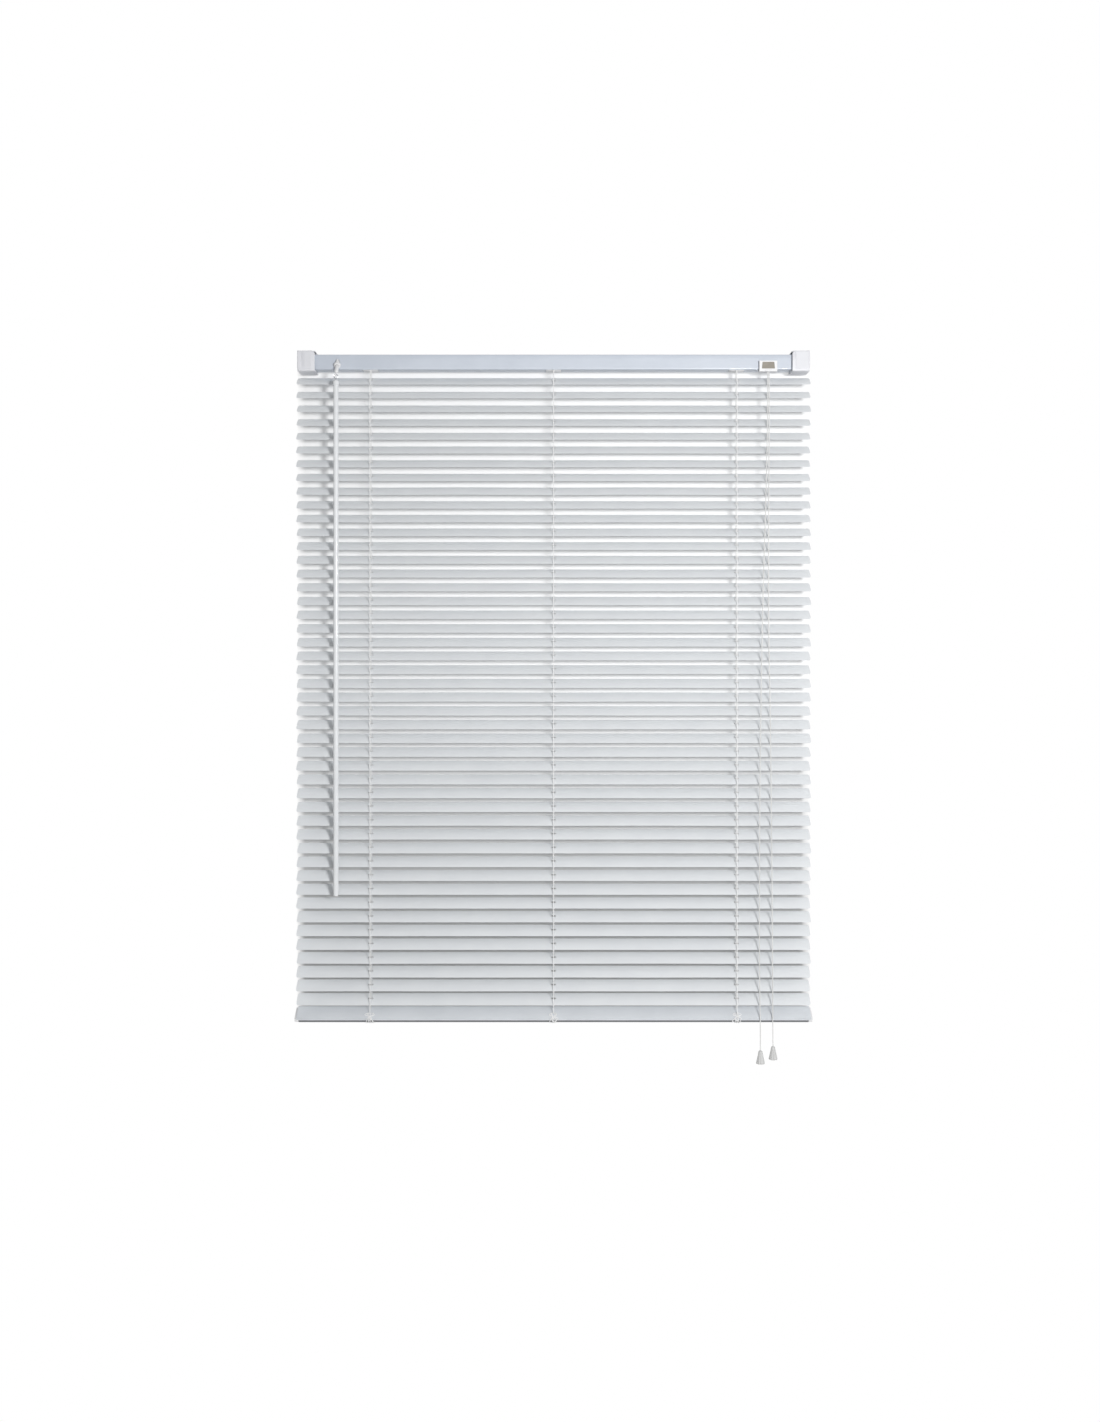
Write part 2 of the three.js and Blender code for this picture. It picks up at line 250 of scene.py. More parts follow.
def hoop(section: Profile, sides: int) -> np.ndarray:
    """Loops of a (radius, height) section at equal turns t around +Z: (r cos t, r sin t, h).

    Args:
        section: The section's points.
        sides: How many loops stand around.

    Returns:
        Loops as (sides, points, 3).
    """
    radii, heights = np.asarray(section, float).T
    spine = circle(1.0, sides)
    loops = np.empty((sides, len(radii), 3))
    loops[..., :2] = spine[:, None] * radii[None, :, None]
    loops[..., 2] = heights
    return loops


def along_x(loops: np.ndarray) -> np.ndarray:
    """Loops around +Z laid down, so that they run along +X."""
    return loops[..., [2, 0, 1]]


def tube(path: np.ndarray, radius: float, sides: int = 8) -> np.ndarray:
    """Loops around a path: p + r (u cos t + v sin t), with u and v carried along without twist.

    Args:
        path: The points it follows.
        radius: Its radius r.
        sides: Points around.

    Returns:
        Loops as (points, sides, 3).
    """
    tangents = np.gradient(path, axis=0)
    tangents /= np.linalg.norm(tangents, axis=1, keepdims=True)
    side = np.eye(3)[int(np.argmin(np.abs(tangents[0])))]
    carried = []
    for tangent in tangents:
        side = side - (side @ tangent) * tangent
        side = side / np.linalg.norm(side)
        carried.append(side)
    u = np.array(carried)
    v = np.cross(tangents, u)
    ring = circle(1.0, sides)
    return path[:, None] + radius * (ring[None, :, :1] * u[:, None] + ring[None, :, 1:] * v[:, None])


class Shape:
    """Surfaces gathered into one mesh."""

    def __init__(self) -> None:
        """Starts with nothing."""
        self.parts: list[np.ndarray] = []
        self.faces: list[tuple[int, ...]] = []
        self.count = 0

    def grid(self, points: np.ndarray, around: bool = False, ring: bool = False,
             keep: np.ndarray | None = None) -> "Shape":
        """Adds quads over a grid of points.

        Args:
            points: (rows, columns, 3).
            around: Whether the last column meets the first.
            ring: Whether the last row meets the first.
            keep: Which quads stay, as (rows, columns) of booleans.

        Returns:
            This shape.
        """
        rows, cols = points.shape[:2]
        index = self.count + np.arange(rows * cols).reshape(rows, cols)
        if around:
            index = np.concatenate([index, index[:, :1]], axis=1)
        if ring:
            index = np.concatenate([index, index[:1]], axis=0)
        quads = np.stack([index[:-1, :-1], index[1:, :-1], index[1:, 1:], index[:-1, 1:]], axis=-1)
        chosen = quads.reshape(-1, 4) if keep is None else quads[keep]
        self.faces.extend(map(tuple, chosen.tolist()))
        self.parts.append(points.reshape(-1, 3))
        self.count += rows * cols
        return self

    def loft(self, loops: np.ndarray, ring: bool = False) -> "Shape":
        """Adds a closed body through loops, capped at both ends unless it is a ring.

        Its volume, a sixth of the sum of a . (b x c) over its triangles, tells which way is out.

        Args:
            loops: (loops, points, 3).
            ring: Whether the last loop meets the first.

        Returns:
            This shape.
        """
        rows, cols = loops.shape[:2]
        base, start = self.count, len(self.faces)
        self.grid(loops, around=True, ring=ring)
        if not ring:
            last = base + rows * cols - 1
            self.faces.append(tuple(range(base, base + cols)))
            self.faces.append(tuple(range(last, last - cols, -1)))
        places = loops.reshape(-1, 3) - loops.reshape(-1, 3).mean(axis=0)
        fans = [(f[0], f[k], f[k + 1]) for f in self.faces[start:] for k in range(1, len(f) - 1)]
        corners = np.array(fans) - base
        one, two, three = (places[corners[:, k]] for k in range(3))
        if np.sum(one * np.cross(two, three)) < 0:
            self.faces[start:] = [face[::-1] for face in self.faces[start:]]
        return self

    def mesh(self, name: str, smooth_deg: float = 38.0) -> bpy.types.Object:
        """Makes the object, in metres, with its rims and its sharper edges kept sharp.

        Args:
            name: The piece's name.
            smooth_deg: The angle past which an edge is sharp.

        Returns:
            The object, linked to the scene.
        """
        points = np.concatenate(self.parts) * MM
        used = np.unique(np.concatenate([np.asarray(f) for f in self.faces]))
        place = np.zeros(len(points), int)
        place[used] = np.arange(len(used))
        faces = [tuple(place[list(f)].tolist()) for f in self.faces]
        return object_of(name, points[used], faces, smooth_deg)


def object_of(name: str, points: np.ndarray, faces: list[tuple[int, ...]],
              smooth_deg: float) -> bpy.types.Object:
    """Makes an object at the origin.

    Args:
        name: Its name.
        points: Its corners in metres.
        faces: Its faces.
        smooth_deg: The angle past which an edge is sharp. An edge of one face is always sharp.

    Returns:
        The object, linked to the scene.
    """
    data = bpy.data.meshes.new(name)
    data.from_pydata(points.tolist(), [], faces)
    data.shade_smooth()
    data.set_sharp_from_angle(angle=math.radians(smooth_deg))
    uses = np.zeros(len(data.loops), np.int32)
    data.loops.foreach_get("edge_index", uses)
    for rim in np.flatnonzero(np.bincount(uses, minlength=len(data.edges)) == 1):
        data.edges[rim].use_edge_sharp = True
    made = bpy.data.objects.new(name, data)
    bpy.context.scene.collection.objects.link(made)
    return made


# Materials


class Value:
    """A socket that can be added, multiplied and so on, each time through a Math node."""

    def __init__(self, graph: "Graph", socket: bpy.types.NodeSocket) -> None:
        """Wraps a socket of graph."""
        self.graph = graph
        self.socket = socket

    def _math(self, operation: str, a: object, b: object = 0.0) -> "Value":
        """A Math node over two values or numbers."""
        return self.graph.node("ShaderNodeMath", {"operation": operation}, {0: a, 1: b})

    def __add__(self, other: object) -> "Value":
        """Sum."""
        return self._math("ADD", self, other)

    def __radd__(self, other: object) -> "Value":
        """Sum with the number first."""
        return self._math("ADD", other, self)

    def __sub__(self, other: object) -> "Value":
        """Difference."""
        return self._math("SUBTRACT", self, other)

    def __rsub__(self, other: object) -> "Value":
        """Difference with the number first."""
        return self._math("SUBTRACT", other, self)

    def __mul__(self, other: object) -> "Value":
        """Product."""
        return self._math("MULTIPLY", self, other)

    def __rmul__(self, other: object) -> "Value":
        """Product with the number first."""
        return self._math("MULTIPLY", other, self)

    def sine(self) -> "Value":
        """Sine of the value."""
        return self._math("SINE", self)

    def size(self) -> "Value":
        """The value without its sign."""
        return self._math("ABSOLUTE", self)

    def larger(self, other: object) -> "Value":
        """The larger of the value and another."""
        return self._math("MAXIMUM", self, other)

    def ramp(self, start: float, stop: float, low: float = 0.0, high: float = 1.0) -> "Value":
        """Goes evenly from low at start to high at stop, and stays there past them."""
        return self.graph.node("ShaderNodeMapRange", {}, {
            "Value": self, "From Min": start, "From Max": stop, "To Min": low, "To Max": high})

    def between(self, shade: object, colour: object) -> "Value":
        """The colour that lies this share of the way from shade to colour."""
        return self.graph.node("ShaderNodeMix", {"data_type": "RGBA"}, {
            "Factor": self, 6: shade, 7: colour}, result=2)


class Graph:
    """Nodes of one material."""

    def __init__(self, name: str) -> None:
        """Makes an empty material with its output."""
        self.material = bpy.data.materials.new(name)
        self.material.use_nodes = True
        self.tree = self.material.node_tree
        self.tree.nodes.clear()
        self.output = self.tree.nodes.new("ShaderNodeOutputMaterial")

    def node(self, kind: str, settings: dict | None = None, inputs: dict | None = None,
             result: str | int = 0) -> Value:
        """Adds one node.

        Args:
            kind: The node's type.
            settings: Its properties, set before its sockets.
            inputs: Socket name or number to a number, tuple or Value. Three numbers for a colour
                are taken as opaque.
            result: Name or number of the output to use.

        Returns:
            The chosen output.
        """
        made = self.tree.nodes.new(kind)
        for key, value in (settings or {}).items():
            setattr(made, key, value)
        for key, value in (inputs or {}).items():
            socket = made.inputs[key]
            if isinstance(value, Value):
                self.tree.links.new(value.socket, socket)
            elif socket.type == "RGBA":
                socket.default_value = (*value[:3], 1.0)
            else:
                socket.default_value = value
        return Value(self, made.outputs[result])

    def object_place(self) -> Value:
        """The place on the object, in metres."""
        return self.node("ShaderNodeTexCoord", result="Object")

    def noise(self, where: Value, scale: float, detail: float) -> Value:
        """Noise over where, with the given scale and detail."""
        return self.node("ShaderNodeTexNoise", {}, {"Vector": where, "Scale": scale, "Detail": detail})

    def split(self, where: Value) -> tuple[Value, Value, Value]:
        """The three parts of a place."""
        first = self.node("ShaderNodeSeparateXYZ", {}, {0: where})
        outputs = first.socket.node.outputs
        return first, Value(self, outputs[1]), Value(self, outputs[2])

    def bump(self, height: Value, strength: float, depth: float) -> Value:
        """Relief of a depth in millimetres from a height of 0 to 1."""
        return self.node("ShaderNodeBump", {}, {
            "Height": height, "Strength": strength, "Distance": depth * MM})

    def finish(self, shader: Value) -> bpy.types.Material:
        """Links the shader to the output."""
        self.tree.links.new(shader.socket, self.output.inputs["Surface"])
        return self.material


class Grain(Enum):
    """How a finish's fine relief runs."""

    EVEN = (1.0, 1.0, 1.0)
    ALONG_X = (0.03, 1.0, 1.0)
    ALONG_Z = (1.0, 1.0, 0.03)


@dataclass(frozen=True)
class Finish:
    """A white moulded, enamelled or plated surface: two tones, uneven gloss and a fine relief."""

    name: str
    slot: str
    colour: Colour
    shade: Colour
    roughness: tuple[float, float]
    grain: Grain = Grain.EVEN
    cloud_scale: float = 22.0
    grain_scale: float = 1400.0
    relief: float = 0.02
    metallic: float = 0.0
    coat: float = 0.0

    def material(self) -> bpy.types.Material:
        """Builds the material: clouds and grain mix the tones, the grain alone the gloss and relief.

        Returns:
            The material.
        """
        g = Graph(self.name)
        where = g.object_place()
        run = g.node("ShaderNodeVectorMath", {"operation": "MULTIPLY"}, {0: where, 1: self.grain.value})
        cloud = g.noise(where, self.cloud_scale, 3.0)
        fine = g.noise(run, self.grain_scale, 2.0)
        tone = (cloud * 0.75 + fine * 0.25).ramp(0.35, 0.65).between(self.shade, self.colour)
        return g.finish(g.node("ShaderNodeBsdfPrincipled", {}, {
            "Base Color": tone, "Roughness": fine.ramp(0.3, 0.7, *self.roughness),
            "Normal": g.bump(fine, 0.5, self.relief), "Metallic": self.metallic, "Coat Weight": self.coat}))


@dataclass(frozen=True)
class Braid:
    """Braided cord: crossing diagonal strands, s = sin(az + bx) sin(az - bx), on a dull white yarn."""

    name: str
    slot: str
    colour: Colour
    shade: Colour
    strand: float = 0.9

    def material(self) -> bpy.types.Material:
        """Builds the material: strands and fuzz mix the tones and make the relief.

        Returns:
            The material.
        """
        g = Graph(self.name)
        where = g.object_place()
        across, deep, up = g.split(where)
        pace = math.pi / (self.strand * MM)
        rising = (up + across + deep) * pace
        falling = (up - across - deep) * pace
        weave = rising.sine() * falling.sine() * 0.5 + 0.5
        fuzz = g.noise(where, 2600.0, 2.0)
        height = weave * 0.8 + fuzz * 0.2
        return g.finish(g.node("ShaderNodeBsdfPrincipled", {}, {
            "Base Color": height.between(self.shade, self.colour), "Roughness": fuzz * 0.2 + 0.65,
            "Normal": g.bump(height, 0.6, 0.15), "Sheen Weight": 0.25}))


class Look(Enum):
    """The blind's finishes, each with its material slot in the record."""

    ENAMEL = Finish("enamelled_steel", "headrail_steel", (0.53, 0.57, 0.635), (0.495, 0.535, 0.60),
                    (0.28, 0.42), Grain.ALONG_X, coat=0.25)
    PLASTIC = Finish("moulded_plastic", "bracket_plastic", (0.70, 0.705, 0.735), (0.66, 0.665, 0.695),
                     (0.42, 0.6), relief=0.05)
    FITTING = Finish("fitting_plastic", "fitting_plastic", (0.78, 0.78, 0.785), (0.73, 0.73, 0.74),
                     (0.36, 0.52), relief=0.04)
    ZINC = Finish("zinc_plate", "rod_steel", (0.66, 0.67, 0.69), (0.5, 0.51, 0.53), (0.24, 0.5),
                  Grain.ALONG_X, cloud_scale=160.0, metallic=1.0)
    WAND = Finish("wand_plastic", "wand_plastic", (0.74, 0.755, 0.77), (0.70, 0.715, 0.73), (0.12, 0.22),
                  Grain.ALONG_Z, relief=0.015, coat=0.3)
    SLAT = Finish("slat_pvc", "slat_pvc", (0.765, 0.785, 0.80), (0.735, 0.755, 0.775), (0.34, 0.48),
                  Grain.ALONG_X, relief=0.03)
    # Painted shade: the slat PVC made darker for the spare slats lying in the shade on the bottom rail.
    SPARE_PAINTED_SHADE = Finish("spare_slat_pvc", "slat_pvc", (0.66, 0.685, 0.715), (0.62, 0.645, 0.675), (0.34, 0.48),
                   Grain.ALONG_X, relief=0.03)
    RAIL = Finish("rail_pvc", "bottom_rail_pvc", (0.74, 0.76, 0.795), (0.70, 0.72, 0.76), (0.3, 0.44),
                  Grain.ALONG_X, relief=0.03)
    # Painted shade: a near-black finish for a strip that stands for the shadow under the bottom rail's room
    # edge.
    PAINTED_SHADE_STRIP = Finish("rail_foot", "bottom_rail_pvc", (0.16, 0.165, 0.175), (0.14, 0.145, 0.155), (0.45, 0.6),
                  Grain.ALONG_X, relief=0.03)
    CARD = Finish("blank_card", "bracket_plastic", (0.27, 0.245, 0.205), (0.22, 0.198, 0.165), (0.45, 0.6),
                  cloud_scale=90.0)
    TASSEL = Finish("tassel_plastic", "tassel_plastic", (0.585, 0.585, 0.58), (0.52, 0.52, 0.515),
                    (0.34, 0.5), relief=0.05)
    STRING = Braid("ladder_braid", "ladder_string", (0.95, 0.95, 0.95), (0.78, 0.78, 0.78), 0.7)
    CORD = Braid("cord_braid", "pull_cord_braid", (0.80, 0.80, 0.79), (0.52, 0.52, 0.51), 1.0)


class Palette:
    """Every material of the blind, made once."""

    def __init__(self) -> None:
        """Builds the materials."""
        self.materials = {look: look.value.material() for look in Look}

    def paint(self, piece: bpy.types.Object, look: Look) -> bpy.types.Object:
        """Gives a piece its material.

        Args:
            piece: The piece.
            look: Its finish.

        Returns:
            The piece.
        """
        piece.data.materials.clear()
        piece.data.materials.append(self.materials[look])
        return piece

    def dress(self, piece: bpy.types.Object, look: Look, body: str,
              replaces: Sequence[str] = ()) -> bpy.types.Object:
        """Gives a piece its material and its body, and hides the nodes it stands for.

        Args:
            piece: The piece, in place.
            look: Its finish.
            body: The body it moves with.
            replaces: Nodes that it stands for.

        Returns:
            The piece.
        """
        self.paint(piece, look)
        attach(piece, body)
        if replaces:
            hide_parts(*replaces)
        LOG.info("%s: %d faces on %s", piece.name, len(piece.data.polygons), body)
        return piece


def eased(piece: bpy.types.Object, width: float, segments: int = 2) -> bpy.types.Object:
    """Bevels a piece's sharp edges.

    Args:
        piece: The piece.
        width: The bevel's width.
        segments: Its segments.

    Returns:
        The piece.
    """
    bevel = piece.modifiers.new("eased", "BEVEL")
    bevel.width = width * MM
    bevel.segments = segments
    bevel.limit_method = "ANGLE"
    bevel.angle_limit = math.radians(35)
    bevel.harden_normals = False
    return piece


def thickened(piece: bpy.types.Object, thickness: float) -> bpy.types.Object:
    """Gives a sheet its thickness, to the side that its normals point to.

    Args:
        piece: The sheet.
        thickness: Its thickness.

    Returns:
        The piece.
    """
    solid = piece.modifiers.new("thickness", "SOLIDIFY")
    solid.thickness = thickness * MM
    solid.offset = 1.0
    solid.use_even_offset = True
    return piece


def clean_copy(node: str, name: str) -> bpy.types.Object:
    """A new piece with a node's shape, its doubled corners merged so that it can be bevelled.

    Args:
        node: The node's name.
        name: The new piece's name.

    Returns:
        The new piece.
    """
    source = bpy.data.objects[node]
    reach = 2e-5
    corners = np.array([v.co for v in source.data.vertices], float)
    keys, place = np.unique(np.round(corners / reach).astype(int), axis=0, return_inverse=True)
    place = place.ravel()
    merged = np.zeros((len(keys), 3))
    merged[place] = corners
    faces = [tuple(int(place[v]) for v in polygon.vertices) for polygon in source.data.polygons]
    return object_of(name, merged, [face for face in faces if len(set(face)) > 2], 35.0)


# Camera, light and stage


@dataclass
class Studio:
    """Camera, lights, a white wall close behind the blind and a pale floor, all in metres."""

    camera_place: tuple[float, float, float] = (-0.0059, -2.2, -0.4978)
    focal_mm: float = 42.97
    sensor_mm: float = 36.0
    shift_y: float = -0.0555
    farthest: float = 60.0
    wall_y: float = 0.030
    wall_top: float = 2.6
    floor_z: float = -2.05
    floor_ends: tuple[float, float] = (-5.0, 4.0)
    half_width: float = 4.0
    key_place: tuple[float, float, float] = (0.764, -2.2, -0.30)
    key_target: tuple[float, float, float] = (0.0, 0.0, -0.56)
    key_size: float = 0.34
    key_power: float = 40.0
    fill_place: tuple[float, float, float] = (0.2, -2.9, -0.1)
    fill_target: tuple[float, float, float] = (0.0, 0.0, -0.5)
    fill_size: float = 1.6
    fill_power: float = 13.0
    sky: float = 0.25
    sky_colour: Colour = (0.985, 0.99, 1.0)
    wall_colour: Colour = (0.85, 0.85, 0.85)
    # Painted shade: the wall behind the blind darkens towards this colour lower down.
    painted_shade_wall_colour: Colour = (0.46, 0.46, 0.46)
    painted_shade_heights: tuple[float, float] = (-0.55, -1.0)
    wall_glow: Colour = (0.02, 0.02, 0.02)
    shaded_half: tuple[float, float] = (0.422, 0.436)
    shaded_middle: float = -0.565
    shaded_reach: tuple[float, float] = (0.530, 0.552)
    floor_paint: Finish = Finish("floor_paint", "floor", (0.86, 0.86, 0.85), (0.83, 0.83, 0.82),
                                 (0.6, 0.8), cloud_scale=3.0)

    def camera(self) -> None:
        """Makes the level camera."""
        data = bpy.data.cameras.new("camera")
        data.sensor_fit = "HORIZONTAL"
        data.sensor_width = self.sensor_mm
        data.lens = self.focal_mm
        data.shift_y = self.shift_y
        data.clip_end = self.farthest
        made = bpy.data.objects.new("camera", data)
        made.location = self.camera_place
        made.rotation_euler = (math.pi / 2, 0, 0)
        bpy.context.scene.collection.objects.link(made)
        bpy.context.scene.camera = made

    def lights(self) -> None:
        """Makes the key light, a broad fill and the even surroundings."""
        scene = bpy.context.scene
        scene.view_settings.view_transform = "Standard"
        world = bpy.data.worlds.new("surroundings")
        world.use_nodes = True
        background = world.node_tree.nodes["Background"]
        background.inputs["Color"].default_value = (*self.sky_colour, 1)
        background.inputs["Strength"].default_value = self.sky
        scene.world = world
        self._area("key", self.key_place, self.key_target, self.key_size, self.key_power)
        self._area("fill", self.fill_place, self.fill_target, self.fill_size, self.fill_power)

    def _area(self, name: str, place: Sequence[float], target: Sequence[float], size: float,
              power: float) -> None:
        """Makes a square area light.

        Args:
            name: Its name.
            place: Where it stands.
            target: Where it points.
            size: The length of its side.
            power: Its power in watts.
        """
        data = bpy.data.lights.new(name, "AREA")
        data.size = size
        data.energy = power
        made = bpy.data.objects.new(name, data)
        dx, dy, dz = (t - p for t, p in zip(target, place))
        made.location = place
        made.rotation_euler = (math.atan2(math.hypot(dx, dy), -dz), 0, math.atan2(dy, dx) - math.pi / 2)
        bpy.context.scene.collection.objects.link(made)

    def wall_paint(self) -> bpy.types.Material:
        """Paint that is plain white beside the blind and takes the blind's shadows behind it.

        outside = max(ramp |x|, ramp |z - middle|). Behind the blind the paint gets darker with
        its depth below the headrail, a painted shade for the slats' closing gaps lower down, and seen
        from its back the wall is clear.

        Returns:
            The material.
        """
        g = Graph("wall_paint")
        where = g.object_place()
        across, _, up = g.split(where)
        beside = across.size().ramp(*self.shaded_half)
        above = (up - self.shaded_middle).size().ramp(*self.shaded_reach)
        outside = above.larger(beside)
        # Painted shade: the paint darkens lower down behind the blind.
        behind_blind = up.ramp(*self.painted_shade_heights).between(self.wall_colour, self.painted_shade_wall_colour)
        roller = g.noise(where, 240.0, 2.0)
        paint = g.node("ShaderNodeBsdfPrincipled", {}, {
            "Base Color": outside.between(behind_blind, (0, 0, 0)), "Roughness": 0.9,
            "Normal": g.bump(roller, 0.1, 0.2), "Specular IOR Level": 0.0,
            "Emission Color": outside.between(self.wall_glow, (1, 1, 1)), "Emission Strength": 1.0})
        clear = g.node("ShaderNodeBsdfTransparent")
        from_back = g.node("ShaderNodeNewGeometry", result="Backfacing")
        return g.finish(g.node("ShaderNodeMixShader", {}, {0: from_back, 1: paint, 2: clear}))

    def _sheet(self, name: str, start: tuple[float, float], stop: tuple[float, float],
               paint: bpy.types.Material) -> bpy.types.Object:
        """Makes a flat sheet as wide as the stage.

        Args:
            name: Its name.
            start: The y and z of its first long edge.
            stop: The y and z of its other long edge.
            paint: Its material.

        Returns:
            The sheet.
        """
        ends = [[(x, *start), (x, *stop)] for x in (-self.half_width, self.half_width)]
        sheet = Shape().grid(np.array(ends) / MM).mesh(name)
        sheet.data.materials.append(paint)
        return sheet

    def stage(self) -> None:
        """Makes the wall, seen only from the room, and the floor."""
        start, stop = self.floor_ends
        foot, top = (self.wall_y, self.floor_z), (self.wall_y, self.wall_top)
        wall = self._sheet("wall", foot, top, self.wall_paint())
        floor_paint = self.floor_paint.material()
        floor = self._sheet("floor", (start, self.floor_z), (stop, self.floor_z), floor_paint)


# Shared places


@dataclass
class Places:
    """Axes and sizes that several assemblies share, the axes taken from the frame's joints."""

    joints: dict[str, tuple[float, ...]]
    slat_names: list[str]
    ladders: tuple[float, ...] = (-306.0, 0.0, 306.0)
    rest_tilt: float = math.radians(35)
    ladder_y: float = 12.11

    @classmethod
    def of(cls, frame: dict) -> "Places":
        """Reads the joints' places from the frame.

        Args:
            frame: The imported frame.

        Returns:
            The places, in millimetres.
        """
        joints = {j["name"]: tuple(v / MM for v in j["pos_m"]) for j in frame["joints"] if "pos_m" in j}
        return cls(joints, sorted(n for n in frame["nodes"] if n.startswith("slat_")))

    def axis(self, joint: str) -> np.ndarray:
        """Place of a joint's axis."""
        return np.array(self.joints[joint])

    def line(self, joint: str) -> np.ndarray:
        """Place of a joint's axis where it crosses x = 0."""
        return self.axis(joint) * [0, 1, 1]


# Cords


@dataclass
class PullCords:
    """Two braided cords from the cord lock, each with a ribbed tassel."""

    radius: float = 0.8
    left_route: Corners = (
        (356.2, -16.2, -35.1), (356.2, -16.2, -50), (355.6, -16.4, -130), (353, -16.8, -250),
        (349.4, -17.2, -370), (346.8, -17.4, -480), (345, -17.4, -580), (343.4, -17.2, -700),
        (342.6, -17, -850), (342.4, -16.9, -1000), (343.2, -16.8, -1080), (344, -16.7, -1130),
        (344, -16.7, -1164))
    right_route: Corners = (
        (358.3, -16.4, -35.1), (358.5, -16.4, -50), (358.6, -16.4, -130), (357.9, -16.5, -250),
        (357.6, -16.7, -370), (358, -16.9, -480), (359.6, -17, -560), (361.5, -17, -700),
        (363, -17, -850), (364, -16.9, -1000), (364.5, -16.8, -1110), (365, -16.7, -1157))
    neck: Profile = ((1.2, 0), (2.6, -0.3), (3.3, -1.2), (3.45, -2.6))
    ribbed: Profile = ((3.6, -4), (4.3, -8), (5.2, -12), (6.1, -16), (6.75, -19.4), (6.95, -20.3),
                       (6.8, -21))
    hollow: Profile = ((6.2, -21), (5.7, -20), (4.6, -15), (3.2, -10))
    neck_ring: Profile = ((1.5, 0.4), (1.9, 0.1), (1.9, -0.5), (1.5, -0.6))
    ribs: int = 12
    rib_depth: float = 0.045
    tassel_sides: int = 48
    tassel_drop: float = 0.3

    def build(self, palette: Palette) -> None:
        """Builds both cords."""
        self.hang("left", self.left_route, palette, ["pull_cord"], ["tassel"])
        self.hang("right", self.right_route, palette, [], [])

    def hang(self, name: str, route: Corners, palette: Palette, cord_nodes: list[str],
             tassel_nodes: list[str]) -> None:
        """Builds one cord with its tassel.

        Args:
            name: Which cord it is.
            route: The places it hangs through.
            palette: The materials.
            cord_nodes: The nodes that the cord stands for.
            tassel_nodes: The nodes that the tassel stands for.
        """
        path = smooth_path(route, 8)
        cord = Shape().loft(tube(path, self.radius)).mesh(f"pull_cord_{name}")
        palette.dress(cord, Look.CORD, "headrail", cord_nodes)
        tassel = self.tassel(name, path[-1])
        palette.dress(tassel, Look.TASSEL, "headrail", tassel_nodes)

    def tassel(self, name: str, end: np.ndarray) -> bpy.types.Object:
        """A flared tassel with ribs, hollow below, and its neck ring.

        Args:
            name: Which cord it is on.
            end: The cord's end.

        Returns:
            The tassel.
        """
        sides = self.tassel_sides
        ribbed = lathe(self.ribbed, sides, self.ribs, self.rib_depth)
        loops = np.concatenate([lathe(self.neck, sides), ribbed, lathe(self.hollow, sides)])
        place = end - [0, 0, self.tassel_drop]
        return Shape().loft(loops + place).loft(lathe(self.neck_ring, 20) + place).mesh(f"tassel_{name}")


# Slats and ladders


